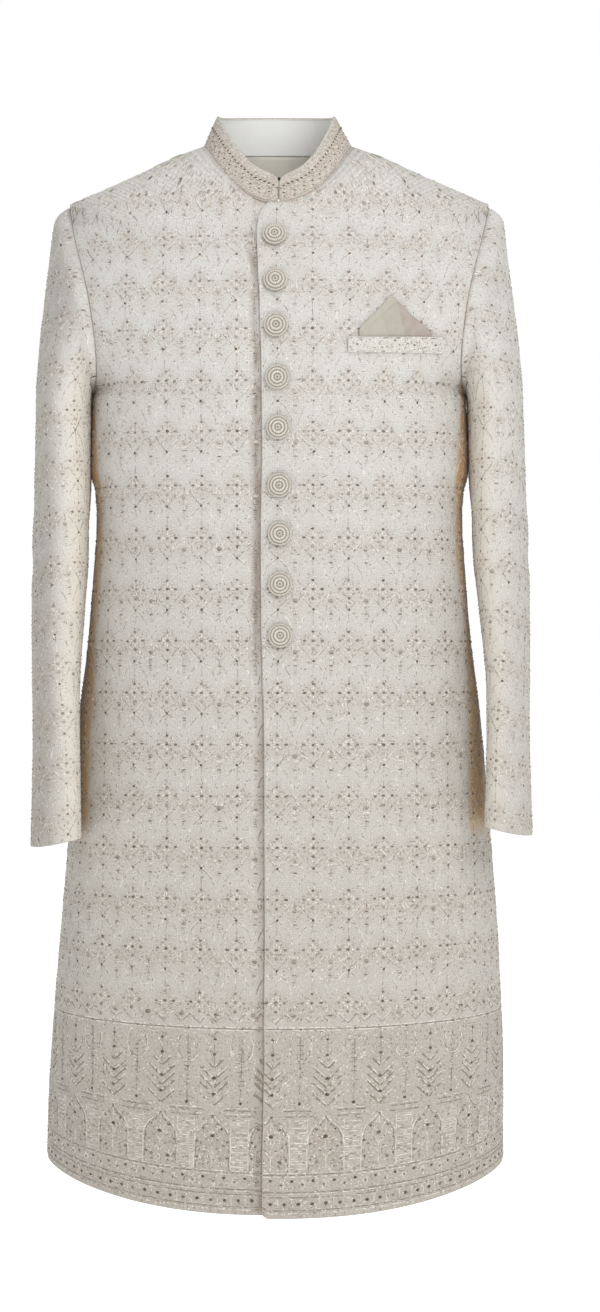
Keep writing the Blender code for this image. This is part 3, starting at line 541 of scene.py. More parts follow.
# ---------------------------------------------------------------- body panels
def front_panel(mirrored):
    """The left front laps over; the right one, mirrored, lies under it."""
    stations, up = even_stations(FRONT_ROWS)
    row = body_rows(FRONT_ROWS, stations)
    start = turn_at(row, -LAP_UNDER if mirrored else -row.lap)
    shares = edge_spacing(FRONT_COLUMNS, not mirrored, True)
    turns = start + (1.0 - start) * shares
    points = points_on_rows(row, turns)
    run = lengths_mm(points)
    centre = np.array([np.interp(0.0, t, r) for t, r in zip(turns, run)])
    across = run - centre[:, None]
    depth = np.zeros(across.shape)
    if mirrored:
        past_lap = points[..., 0] - row.lap
        depth -= LAP_SET_BACK * smooth_share(1.0 - (past_lap - LAP_MARGIN) / LAP_BLEND)
        groove, width = LAP_GROOVE
        fade = eased_in(up, 0.0, 30.0) * eased_in(up, up[-1], -40.0)
        depth -= groove * np.exp(-((past_lap / width) ** 2)) * fade[:, None]
        points[..., 0] *= -1.0
    else:
        drop = np.clip(1.0 - up * MM / LEFT_HEM_FADE, 0.0, 1.0)[:, None]
        from_lap = (across - across[:, :1]) * MM
        inside = np.clip(HEM_CORNER - from_lap, 0.0, HEM_CORNER)
        corner = HEM_CORNER - np.sqrt(HEM_CORNER**2 - inside**2)
        near_hem = np.clip(1.0 - up * MM / (3.0 * HEM_CORNER), 0.0, 1.0)[:, None]
        points[..., 2] += corner * near_hem - LEFT_HEM_DROP * drop
    return Panel(points, across, up, -1.0 if mirrored else 1.0).pushed(depth)


def back_panel():
    stations, up = even_stations(BACK_ROWS)
    row = body_rows(BACK_ROWS, stations)
    shares = edge_spacing(BACK_COLUMNS, True, True)
    turns = np.repeat((2.0 * shares - 1.0)[None], len(stations), axis=0)
    points = points_on_rows(row, turns)
    run = lengths_mm(points)
    across = run - run[:, -1:] / 2.0
    return Panel(points, across, up, -1.0)


# ---------------------------------------------------------------- sleeves
def armhole_spot(around):
    """Body table and row of a place round the armhole, in rows from the shoulder tip:
    negative towards the front, positive towards the back, meeting again underneath."""
    half = TIP_ROW - UNDERARM_ROW
    wrapped = (around + half) % (2 * half) - half
    return (FRONT_ROWS if wrapped < 0.0 else BACK_ROWS), TIP_ROW - abs(wrapped)


def arm_row(station, swing):
    """A row of the arm; the sleeve that swings out is also slimmer and shorter low down."""
    row = ArmRow(*read_table(ARM_ROWS, station)[0])
    if swing:
        slimmer, shorter = looked_up(LEFT_ARM_EASE, row.z)
        row = row._replace(
            mid_x=row.mid_x + swing * (ARM_SWING_FROM - row.z) + slimmer,
            half_x=row.half_x - slimmer, z=row.z + shorter)
    return row


def arm_points(row, turns):
    """Points on an arm section: 0 is the outer side, +-0.5 front or back, 1 the inner."""
    angle = math.pi * turns
    power = 2.0 / ARM_SQUARE
    across = row.half_x * signed_power(np.cos(angle), power)
    fore = -row.half_y * signed_power(np.sin(angle), power)
    twist = math.radians(row.twist)
    x = across * math.cos(twist) + fore * math.sin(twist)
    y = -across * math.sin(twist) + fore * math.cos(twist)
    return np.stack((row.mid_x + x, row.mid_y + y, row.z + row.slant * x / row.half_x), -1)


def armhole_half(rows):
    """Shares of half the armhole at fine table stations, from the tip to the underarm."""
    stations = np.linspace(TIP_ROW, UNDERARM_ROW, FINE)
    line = points_on_rows(body_rows(rows, stations), np.ones((FINE, 1)))[:, 0]
    run = running_length(line)
    return -stations, run / run[-1]


def sleeve_panel(places, swing, mirrored):
    """A sleeve piece between two places round the armhole, from its head to the cuff."""
    halves = {rows: armhole_half(rows) for rows in (FRONT_ROWS, BACK_ROWS)}
    spots = [armhole_spot(place) for place in places]
    signs = np.array([1.0 if rows is FRONT_ROWS else -1.0 for rows, _ in spots])
    shares = np.array([np.interp(-s, *halves[rows]) for rows, s in spots])
    edges = np.array(
        [points_on_rows(body_rows(rows, s), np.ones((1, 1)))[0, 0] for rows, s in spots]
    )
    fall = -SHOULDER_SLOPE * (1.0 - shares) ** 2
    leave = unit(np.stack((np.ones(len(places)), CAP_SPREAD * edges[:, 1], fall), -1))
    start = edges + leave * ARMHOLE_GAP
    fullness = part_way(*CAP_FULLNESS, shares)

    def section(station):
        row = arm_row(station, swing)
        fine = np.linspace(0.0, 1.0, FINE)
        turns = np.empty(len(places))
        for sign in (1.0, -1.0):
            run = running_length(arm_points(row, sign * fine))
            side = signs == sign
            turns[side] = sign * np.interp(shares[side], run / run[-1], fine)
        return arm_points(row, turns)

    end = section(0.0)
    reach = np.linalg.norm(end - start, axis=1)[:, None]
    arrive = unit(section(CAP_BLEND_ROW) - end) * reach
    grid = []
    for level in CAP_LEVELS:
        rounded = (1.0 - math.exp(-level / CAP_CORNER)) * (1.0 - level) ** CAP_FADE
        grid.append(
            curve(start, end - start, end, arrive, level) + leave * (fullness * rounded)[:, None])
    last = len(ARM_ROWS) - 1
    arm = np.append(np.linspace(0.0, last, ARM_STATIONS), last - np.array(CUFF_STATIONS))
    grid += [section(station) for station in np.sort(arm)]
    points = np.array(grid)[::-1]
    head = len(CAP_LEVELS)  # rows of the sleeve head, which keep the arm's columns
    run = lengths_mm(points)
    run[-head:] = run[-head - 1]
    half = TIP_ROW - UNDERARM_ROW
    middle = int(np.argmin(np.abs((places + half) % (2 * half) - half)))
    across = run - run[:, middle : middle + 1]
    up = lengths_mm(np.swapaxes(points, 0, 1)).T
    if mirrored:
        points[..., 0] *= -1.0
    return Panel(points, across, up, -1.0 if mirrored else 1.0)


# ---------------------------------------------------------------- collar surface
def neck_line(angles):
    """Points of the neckline, from 0 degrees at the centre front to 180 at the centre back."""
    front = points_on_rows(body_rows(FRONT_ROWS, NECK_ROW), angles[None] / 90.0)[0]
    back = points_on_rows(body_rows(BACK_ROWS, NECK_ROW), (180.0 - angles[None]) / 90.0)[0]
    return np.where((angles <= 90.0)[:, None], front, back)


def collar_panel():
    """The stand-up collar, from its left front end round the back to its right one. Up is
    its height at the front, and shares of the real height elsewhere."""
    fine = np.linspace(0.0, 180.0, 10 * FINE)
    run = running_length(neck_line(fine))
    half = run[-1] - COLLAR_OPENING / 2.0
    shares = edge_spacing(int(half / COLLAR_STEP), True, False) ** COLLAR_CROWDING
    runs = COLLAR_OPENING / 2.0 + half * shares
    angles = np.interp(runs, run, fine)
    low, high = COLLAR_BACK_TURN
    back_share = eased_in(angles, low, high - low)
    full = part_way(COLLAR_HEIGHT_FRONT, COLLAR_HEIGHT_BACK, back_share)
    into_corner = np.clip(1.0 - (runs - COLLAR_OPENING / 2.0) / COLLAR_CORNER, 0.0, 1.0)
    rounded = np.sqrt(1.0 - into_corner**2)
    height = part_way(COLLAR_END_HEIGHT, full, rounded)
    lean = 1.0 - (1.0 - np.array(COLLAR_LEAN)) * (height / COLLAR_HEIGHT_FRONT)[:, None]
    bottom = neck_line(angles)
    top = np.column_stack((bottom[:, :2] * lean, bottom[:, 2] + height))
    bottom = bottom + unit(top - bottom) * COLLAR_SEAM
    rows = np.unique(np.append(np.linspace(0.0, 1.0, 15), COLLAR_EDGE_ROWS))
    left = bottom + (top - bottom) * rows[:, None, None]
    right = left[:, -2::-1] * np.array((-1.0, 1.0, 1.0))
    points = np.concatenate((left, right), axis=1)
    run = lengths_mm(points)
    across = run - run[:, -1:] / 2.0
    panel = Panel(points, across, rows * COLLAR_HEIGHT_FRONT / MM, 1.0)
    over_top = np.clip((rows - COLLAR_FOLD) / (1.0 - COLLAR_FOLD), 0.0, 1.0) ** 2
    return panel.pushed(np.repeat(-COLLAR_ROUNDING * over_top[:, None], across.shape[1], 1))


# ---------------------------------------------------------------- shells of cloth
def placed(name, data):
    """A new object in the scene."""
    made = bpy.data.objects.new(name, data)
    bpy.context.scene.collection.objects.link(made)
    return made


def mesh_of(name, shape):
    """A mesh with a modelled shape, which is used up."""
    mesh = bpy.data.meshes.new(name)
    shape.to_mesh(mesh)
    shape.free()
    return mesh


def drawn_in(points, distance):
    """A grid of points with its outer rows and columns moved inwards."""
    made = points.copy()
    for edge, beside in ((0, 1), (-1, -2)):
        made[edge] += unit(made[beside] - made[edge]) * distance
        made[:, edge] += unit(made[:, beside] - made[:, edge]) * distance
    return made


def rounded_off(panel, depth, width):
    """Heights that turn a panel's side edges in, as a pressed and sewn edge does."""
    from_low = panel.across - panel.across[:, :1]
    from_high = panel.across[:, -1:] - panel.across
    nearest = np.minimum(from_low, from_high)
    return -depth * np.clip(1.0 - nearest / width, 0.0, 1.0) ** 2


def creased(panel, creases):
    """Heights of soft troughs and ridges: each has its middle across and up the cloth, half
    its length, half its width and its depth in mm, and its turn in degrees."""
    heights = np.zeros(panel.across.shape)
    up = panel.up
    for across, rise, half_length, half_width, depth, turn in creases:
        cosine, sine = math.cos(math.radians(turn)), math.sin(math.radians(turn))
        along = (panel.across - across) * cosine + (up - rise) * sine
        aside = (up - rise) * cosine - (panel.across - across) * sine
        aside = aside + half_width * 0.35 * np.sin(along / half_length * 1.9)  # a soft bend
        shape = np.exp(-((along / half_length) ** 2) * 1.6 - (aside / half_width) ** 2)
        heights -= depth * MM * shape
    return heights


def cloth_grid(name, points, across, up, outward):
    """A mesh over a grid of points, facing out, with a map of millimetres on the cloth."""
    rows, columns = points.shape[:2]
    shape = bmesh.new()
    bmesh.ops.create_grid(shape, x_segments=columns - 1, y_segments=rows - 1, size=0.5)
    if outward < 0.0:
        bmesh.ops.reverse_faces(shape, faces=shape.faces)
    for face in shape.faces:
        face.smooth = True
    mesh = mesh_of(name, shape)
    flat = np.empty(3 * rows * columns)
    mesh.vertices.foreach_get("co", flat)
    flat = flat.reshape(-1, 3)
    c = np.rint((flat[:, 0] + 0.5) * (columns - 1)).astype(int)
    r = np.rint((flat[:, 1] + 0.5) * (rows - 1)).astype(int)
    mesh.vertices.foreach_set("co", points[r, c].astype(np.float32).ravel())
    corners = np.empty(len(mesh.loops), dtype=int)
    mesh.loops.foreach_get("vertex_index", corners)
    places = np.column_stack((across[r, c], np.broadcast_to(up, across.shape)[r, c]))
    layer = mesh.uv_layers.new(name="cloth_mm")
    layer.data.foreach_set("uv", places[corners].astype(np.float32).ravel())
    mesh.update()
    return placed(name, mesh), (r, c)


def note(piece, name, values):
    """Gives a piece's points a number each, for its material to read."""
    made = piece.data.attributes.new(name, "FLOAT", "POINT")
    made.data.foreach_set("value", np.asarray(values, dtype=np.float32).ravel())


def thickened(piece, thickness, outside, inside):
    """Makes a wall of a shell, inwards from its face, lined with another finish."""
    piece.data.materials.append(outside)
    piece.data.materials.append(inside)
    wall = piece.modifiers.new("wall", "SOLIDIFY")
    wall.thickness = thickness
    wall.offset = -1.0
    wall.material_offset = 1
    return piece


# ---------------------------------------------------------------- stitches and spangles
ACROSS, UP, LENGTH, WIDTH, _, TURN, TONE = range(7)  # columns of the rows of stitches


def stitches(across, up, length, width, height, turn, tone=0.6):
    """Rows of numbers, one for each stitch; tone goes from 0, deep, to 1, pale."""
    columns = np.broadcast_arrays(across, up, length, width, height, turn, tone)
    return np.stack([np.asarray(c, dtype=float).ravel() for c in columns], -1)


def chain(points, width, step=2.6, slant=0.0, height=0.85, tone=0.6):
    """Stitches end to end along a line of points."""
    points = np.array(points, dtype=float)
    run = running_length(points)
    at = np.linspace(0.0, run[-1], max(1, round(run[-1] / step)) + 1)
    knots = np.column_stack([np.interp(at, run, points[:, i]) for i in (0, 1)])
    middle, gap = (knots[1:] + knots[:-1]) / 2.0, knots[1:] - knots[:-1]
    length = np.hypot(gap[:, 0], gap[:, 1]) * 1.18  # so that each overlaps the next
    turn = np.arctan2(gap[:, 1], gap[:, 0]) + slant
    return stitches(middle[:, 0], middle[:, 1], length, width, height, turn, tone)


def both_sides(points):
    """A line of points and its mirror image."""
    return [points, [(-across, up) for across, up in points]]


def stamped(pattern, origins):
    """The pattern's stitches again at each origin across and up."""
    made = np.repeat(pattern[None], len(origins), axis=0)
    made[:, :, ACROSS] += origins[:, 0, None]
    made[:, :, UP] += origins[:, 1, None]
    return made.reshape(-1, pattern.shape[1])


def uneven(rows, rng, shift=0.12, turn=0.07, tone=0.17):
    """The same stitches, a little out of line and of uneven tone, as handwork is."""
    made = rows.copy()
    made[:, ACROSS] += rng.normal(0.0, shift, len(made))
    made[:, UP] += rng.normal(0.0, shift, len(made))
    made[:, [LENGTH, WIDTH]] *= rng.uniform(0.88, 1.12, (len(made), 2))  # up to 12 per cent
    made[:, TURN] += rng.normal(0.0, turn, len(made))
    made[:, TONE] = np.clip(made[:, TONE] + rng.normal(0.0, tone, len(made)), 0.0, 1.0)
    return made


def raised_stitch():
    """A short stitch, flat below, that rises to its middle."""
    shape = bmesh.new()
    bmesh.ops.create_cone(
        shape, cap_ends=False, segments=4, radius1=math.sqrt(0.5), radius2=0.0, depth=1.0)
    bmesh.ops.remove_doubles(shape, verts=shape.verts, dist=0.0001)
    bmesh.ops.rotate(shape, matrix=Matrix.Rotation(math.pi / 4.0, 3, "Z"), verts=shape.verts)
    bmesh.ops.translate(shape, vec=(0.0, 0.0, 0.5), verts=shape.verts)
    return shape


def rounded_spangle():
    """A shallow round dome, flat below."""
    shape = bmesh.new()
    bmesh.ops.create_uvsphere(shape, u_segments=6, v_segments=4, radius=0.5)
    whole = shape.verts[:] + shape.edges[:] + shape.faces[:]
    bmesh.ops.bisect_plane(
        shape, geom=whole, dist=0.001, plane_co=(0.0, 0.0, 0.0), plane_no=(0.0, 0.0, -1.0),
        clear_outer=True)
    bmesh.ops.scale(shape, vec=(1.0, 1.0, 2.0), verts=shape.verts)
    return shape


def sewn_on(name, shape, rows, panel, finish, lift=0.0):
    """One piece of many copies of a small shape, each laid on the panel where its row says."""
    for face in shape.faces:
        face.smooth = True
    single = mesh_of(name + "_single", shape)
    carrier = placed(single.name, single)
    repeat = carrier.modifiers.new("repeat", "ARRAY")
    repeat.count = len(rows)
    repeat.use_relative_offset = False
    view = bpy.context.evaluated_depsgraph_get()
    mesh = bpy.data.meshes.new_from_object(carrier.evaluated_get(view))
    mesh.name = name
    one = np.empty(3 * len(single.vertices))
    single.vertices.foreach_get("co", one)
    x, y, z = one.reshape(-1, 3).T
    bpy.data.objects.remove(carrier)
    across, up, length, width, height, turn, tone = rows.T[:, :, None]
    cosine, sine = np.cos(turn), np.sin(turn)
    along, aside = x * length, y * width
    flat_across = (across + cosine * along - sine * aside).ravel()
    flat_up = (up + sine * along + cosine * aside).ravel()
    over = (z * height + lift + 0.0 * across).ravel()  # lift: one number, or one for each row
    places = panel.lay(flat_across, flat_up, over)
    mesh.vertices.foreach_set("co", places.astype(np.float32).ravel())
    mesh.materials.append(finish)
    if panel.outward < 0.0:
        mesh.flip_normals()
    mesh.update()
    piece = placed(name, mesh)
    note(piece, "tone", np.broadcast_to(tone, (len(rows), len(x))))
    note(piece, "crown", np.broadcast_to(z, (len(rows), len(x))))
    return piece


# ---------------------------------------------------------------- finishes
def linear(hex_colour):
    """An sRGB hex colour as the linear one that a socket takes."""
    made = []
    for start in (1, 3, 5):
        value = int(hex_colour[start : start + 2], 16) / 255.0
        made.append(value / 12.92 if value <= 0.04045 else ((value + 0.055) / 1.055) ** 2.4)
    return (*made, 1.0)


def add(tree, kind, inputs=(), out=0, **settings):
    """Adds a node with its settings and gives one of its outputs. The inputs, by name or in
    order, are numbers, hex colours or other nodes' outputs."""
    node = tree.nodes.new("ShaderNode" + kind)
    for name, value in settings.items():
        setattr(node, name, value)
    for name, value in (inputs if isinstance(inputs, dict) else dict(enumerate(inputs))).items():
        if isinstance(value, bpy.types.NodeSocket):
            tree.links.new(value, node.inputs[name])
        else:
            node.inputs[name].default_value = linear(value) if isinstance(value, str) else value
    return node.outputs[out] if node.outputs else node


def started(name, on_cloth=False, *lumps):
    """An empty material, its tree, its coordinates (millimetres on the cloth, or metres in
    space), and noise for each size of lump, in those units, with its detail and roughness."""
    material = bpy.data.materials.new(name)
    material.use_nodes = True
    tree = material.node_tree
    tree.nodes.clear()
    place = (
        add(tree, "UVMap", uv_map="cloth_mm") if on_cloth
        else add(tree, "TexCoord", out="Object"))
    patterns = [
        add(tree, "TexNoise",
            {"Vector": place, "Scale": 1.0 / size, "Detail": detail, "Roughness": rough})
        for size, detail, rough in lumps]
    return material, tree, place, patterns


def noted(tree, *names):
    """What note() gave the points of a piece, under those names."""
    return [add(tree, "Attribute", out="Fac", attribute_name=name) for name in names]


def layered(tree, body, *layers):
    """Lays colours over a body in turn: each by a share, or by a value with the range of it
    that counts and the shares at the two ends of that range."""
    for *share, colour in layers:
        share = add(tree, "MapRange", share) if len(share) > 1 else share[0]
        body = add(tree, "Mix", {0: share, 6: body, 7: colour}, 2, data_type="RGBA")
    return body


def woven(tree, place, thread):
    """Height of a plain weave whose threads lie that many map units apart."""
    lines = [
        add(tree, "TexWave",
            {"Vector": place, "Scale": math.pi / (10.0 * thread), "Distortion": 1.4,
             "Detail": 1.0, "Detail Scale": 2.0},
            "Fac", wave_type="BANDS", bands_direction=direction)
        for direction in ("X", "Y")]
    return add(tree, "Math", lines, operation="MULTIPLY")


def finished(
    material, tree, colour, rough, height, relief, specular, sheen=0.0, sheen_rough=0.5,
    metallic=0.0,
):
    """Ends a tree with its shader: rough is what the roughness follows, its range and the
    roughness at each end; relief is how far the height moves the face, in metres."""
    bump = add(tree, "Bump", {"Height": height, "Distance": relief, "Strength": 1.0})
    shader = add(
        tree, "BsdfPrincipled",
        {"Base Color": colour, "Roughness": add(tree, "MapRange", rough), "Normal": bump,
         "Specular IOR Level": specular, "Sheen Weight": sheen, "Sheen Roughness": sheen_rough,
         "Metallic": metallic})
    add(tree, "OutputMaterial", {"Surface": shader})
    return material


def coat_silk():
    """Matt raw silk in natural ivory, woven of uneven threads and worked all over with thread
    of its own colour: a fine dry grain with small warm and cool flecks, never glossy."""
    material, tree, place, (grain, curls, cloud, flecks) = started(
        "raw_silk_ivory", True, (1.5, 3.0, 0.7), (3.6, 1.0, 0.5), (46.0, 2.0, 0.5),
        (2.2, 2.0, 0.6))
    # warm carries painted light, on the sleeves' inner sides, and painted golden bounce light and
    # fold shade beside them; shade carries painted shadow and shade
    warm, worked, shade, crowded = noted(tree, *CLOTH_NOTES)
    height_up = add(tree, "SeparateXYZ", [add(tree, "TexCoord", out="Object")], 2)
    weave = woven(tree, place, 1.7)  # 0.4 mm threads, drawn coarser so that they show
    # darker and warmer towards the hem by height: partly the denser work low down, partly painted
    # shade where the light falls off downwards
    body = layered(
        tree, "#d1d0ce", (height_up, -0.20, -0.98, "#b9b4ad"),
        (cloud, 0.35, 0.65, 0.0, 0.45, "#c8c5c0"), (grain, 0.34, 0.47, 0.22, 0.0, "#8b8178"),
        (grain, 0.54, 0.70, 0.0, 0.55, "#f4f2ee"), (crowded, 0.0, 1.0, 0.0, 0.13, "#a58c7c"))
    border = add(tree, "MapRange", (worked, 0.0, 1.0, 0.0, 0.6))
    busy = add(tree, "Math", (crowded, border), operation="MAXIMUM")
    specks = (
        add(tree, "MapRange", (flecks, 0.55, 0.63, 0.03, 0.55)),
        add(tree, "MapRange", (busy, 0.0, 0.8, 0.15, 1.0)))
    specks = add(tree, "Math", specks, operation="MULTIPLY")
    body = layered(tree, body, (specks, "#8f8378"))
    body = layered(tree, body, (worked, layered(tree, body, (0.15, "#8c7468"))))
    tint = layered(tree, "#ecd8d2", (curls, "#dbe0d2"))
    body = add(
        tree, "Mix", {0: 0.14, 6: body, 7: tint}, 2, data_type="RGBA", blend_type="MULTIPLY")
    # painted shadow of the lap and painted shade on the sleeves' far sides; painted light on the
    # sleeves' inner sides; painted golden bounce light, deeper in the fold, on the body beside the
    # sleeves
    body = layered(
        tree, body, (shade, "#6f5b4c"), (warm, -1.0, 0.0, 0.60, 0.0, "#fff4e4"),
        (warm, 0.0, 0.6, "#c0a079"), (warm, 0.6, 1.0, 0.0, 0.9, "#bd9465"))
    height = add(tree, "Math", (weave, grain), operation="ADD")
    return finished(
        material, tree, body, (grain, 0.3, 0.7, 0.86, 0.70), height, 0.00045, 0.25, 0.12, 0.45)


def silk_thread(name, deep, pale, rose):
    """Untwisted silk thread, lightly shining where it bends: pale ridges, and feet darkened with
    painted shade where they meet the cloth.
    """
    material, tree, _, (strand,) = started(name, False, (0.0016, 2.0, 0.5))
    tone, crown = noted(tree, "tone", "crown")
    # crown: painted shade darkens each stitch towards its foot, where it meets the cloth
    colour = layered(
        tree, deep, (tone, 0.15, 0.85, pale), (tone, 0.86, 0.94, 0.0, 0.6, rose),
        (crown, 0.0, 0.5, 0.35, 0.0, "#8f8271"), (strand, 0.45, 0.7, 0.0, 0.25, "#a3937f"))
    return finished(
        material, tree, colour, (strand, 0.3, 0.7, 0.62, 0.48), strand, 0.00012, 0.35, 0.10)


def bronzed_spangle(name, dark, middle, rim):
    """Small dulled metal spangles sewn flat: dark brown-olive cups with a lighter rim."""
    material, tree, _, (tarnish,) = started(name, False, (0.0022, 2.0, 0.5))
    tone, crown = noted(tree, "tone", "crown")
    shade = add(tree, "Math", (tone, 1.7), operation="POWER")
    colour = layered(
        tree, dark, (shade, middle), (crown, 0.05, 0.40, 0.55, 0.0, rim),
        (tarnish, 0.42, 0.7, 0.0, 0.25, "#97897b"))
    return finished(
        material, tree, colour, (tarnish, 0.3, 0.7, 0.40, 0.58), tarnish, 0.0001, 0.35,
        metallic=0.15)


def worked_collar():
    """The stand's stiff cloth under close metal-thread work, with a greyer corded band along
    its top edge: a dense pinkish grain below, a cooler strip above."""
    material, tree, place, (grain,) = started("worked_stand_cloth", True, (1.3, 3.0, 0.7))
    height_up = add(tree, "SeparateXYZ", [place], 1)
    on_band = add(tree, "MapRange", (height_up, COLLAR_BAND, COLLAR_BAND + 0.4))
    work = layered(tree, "#a1958b", (grain, 0.35, 0.65, "#dbd3cb"))
    satin = layered(tree, "#9c968e", (grain, 0.36, 0.64, "#d2cdc6"))
    relief = add(tree, "Math", (grain, woven(tree, place, 1.2)), operation="ADD")
    flatter = add(tree, "MapRange", (on_band, 0.0, 1.0, 1.0, 0.25))
    relief = add(tree, "Math", (relief, flatter), operation="MULTIPLY")
    return finished(
        material, tree, layered(tree, work, (on_band, satin)), (on_band, 0.0, 1.0, 0.72, 0.50),
        relief, 0.0004, 0.3, 0.1)


def folded_satin():
    """Heavy greige silk satin of the folded square: soft gloss and faint cross threads, with painted
    light and shade on the folds, each fold a little pinker or greener than the last."""
    material, tree, place, (cloud,) = started("greige_satin", True, (7.0, 2.0, 0.5))
    (fold,) = noted(tree, "fold")
    weave = woven(tree, place, 0.9)  # 0.15 mm threads, drawn coarser so that they show
    colour = layered(
        tree, "#aaa79a", (fold, "#9d9089"), (cloud, 0.35, 0.7, 0.0, 0.4, "#b7b1a9"),
        (weave, 0.0, 0.5, 0.25, 0.0, "#857b72"))
    return finished(
        material, tree, colour, (cloud, 0.3, 0.7, 0.42, 0.55), weave, 0.00008, 0.4, 0.15)


def button_cord():
    """Silk cord and thread wound over a button mould: matt ivory rounds of the cloth's own colour,
    with brown in the grooves between them, partly darker cord and partly painted shade in the
    hollows."""
    material, tree, _, (fibre,) = started("wound_cord", False, (0.0011, 3.0, 0.7))
    (groove,) = noted(tree, "groove")
    colour = layered(tree, "#b9b0a4", (fibre, 0.35, 0.65, "#dedad2"), (groove, "#6f6357"))
    return finished(
        material, tree, colour, (fibre, 0.3, 0.7, 0.70, 0.58), fibre, 0.00025, 0.3, 0.1)


def blackened_steel():
    """Blackened steel of a dress hook: dark, smooth and worn bright in places."""
    material, tree, _, (wear,) = started("blackened_steel", False, (0.0012, 2.0, 0.5))
    colour = layered(tree, "#2a2724", (wear, 0.5, 0.7, "#6a6259"))
    return finished(
        material, tree, colour, (wear, 0.3, 0.7, 0.34, 0.5), wear, 0.00003, 0.5, metallic=0.9)


def twill_lining(name, first, second, worn):
    """Plain viscose lining twill: fine diagonal lines and an even soft gloss."""
    material, tree, place, (cloud,) = started(name, True, (30.0, 2.0, 0.5))
    twill = add(
        tree, "TexWave", {"Vector": place, "Scale": math.pi / 14.0}, "Fac",
        wave_type="BANDS", bands_direction="DIAGONAL")
    colour = layered(tree, first, (twill, second), (cloud, 0.35, 0.65, 0.0, 0.4, worn))
    return finished(
        material, tree, colour, (cloud, 0.3, 0.7, 0.42, 0.52), twill, 0.00006, 0.4)


# ---------------------------------------------------------------- embroidery laid out
def drawn(lines, sides=(1.0, -1.0)):
    """Stitches along a table of lines, and along their mirror images."""
    made = [np.empty((0, TONE + 1))]
    for line in lines:
        for side in sides:
            path = [(side * line.across, line.up), (side * line.to_across, line.to_up)]
            made.append(chain(path, line.width, height=0.7, tone=line.tone))
    return np.concatenate(made)


def dotted(dots):
    across, up, half_width, half_height, tone = np.array(dots, dtype=float).T
    return stitches(across, up, 2.0 * half_width, 2.0 * half_height, SPANGLE_HEIGHT, 0.0, tone)


def above(table, limit):
    """The part of a table of lines or dots that stays above a height."""
    return [row for row in table if min(row.up, getattr(row, "to_up", row.up)) > limit]


def grid_of(start, pitch, numbers, rows, opening):
    """Places across and up of numbered columns on rows; they open out over the chest."""
    numbers, up = np.meshgrid(numbers, np.array(rows, dtype=float))
    spread = opening * eased_in(up, OPENING_FROM, OPENING_BLEND)
    across = start + pitch * numbers + spread * numbers * np.abs(numbers)
    return np.column_stack((across.ravel(), up.ravel()))


def all_over(start, pitch, count, rows, opening=0.0, last_row=False):
    """Threads and spangles of the all-over pattern: a motif on each column and row, a cup
    between columns. The last row over a border is cut short."""
    numbers = np.arange(-1.0, count)
    limit = LAST_ROW_CUT if last_row else -math.inf
    motif = [drawn(above(MOTIF_LINES, limit)), drawn(above(MOTIF_STEM, limit), (1.0,))]
    if not last_row:
        for path in both_sides(OGEE):
            motif.append(chain(path, 0.75, height=0.5, tone=0.44))
            motif.append(chain(np.array(path) + (0.0, 1.5), 0.7, height=0.4, tone=0.62))
    cup = (drawn(above(CUP_LINES, limit)), drawn(above(CUP_STEM, limit), (1.0,)))
    at_motifs = grid_of(start, pitch, numbers, rows, opening)
    at_cups = grid_of(start, pitch, numbers + 0.5, rows, opening)
    threads = [stamped(np.concatenate(motif), at_motifs), stamped(np.concatenate(cup), at_cups)]
    spangles = [
        stamped(dotted(above(MOTIF_DOTS, limit)), at_motifs),
        stamped(dotted(above(CUP_DOTS, limit)), at_cups)]
    if last_row:
        for drop, tone in ((0.0, 0.60), (2.3, 0.30)):
            roof = [(across, up - drop) for across, up in ROOF]
            threads += [stamped(chain(path, 0.85, tone=tone), at_motifs) for path in both_sides(roof)]
        spangles.append(stamped(dotted([Dot(0.0, -11.6, 3.0, 1.9, 0.5)]), at_cups))
    return np.concatenate(threads), np.concatenate(spangles)


def level_line(up, width=0.9, step=2.6, slant=0.0, height=0.7, tone=0.55):
    """Stitches right across a body panel at a height."""
    return chain([(-WIDEST, up), (WIDEST, up)], width, step, slant, height, tone)


def level_dots(start, pitch, up, half_width, half_height):
    across = np.arange(start - pitch * math.ceil(WIDEST / pitch), WIDEST, pitch)
    return stitches(across, up, 2.0 * half_width, 2.0 * half_height, SPANGLE_HEIGHT, 0.0, 0.12)


def rungs(ups, halves, tones, **how):
    """Level stitches across the middle, one above the other."""
    return [
        chain([(-half, up), (half, up)], tone=tone, **how)
        for up, half, tone in zip(ups, halves, tones)]


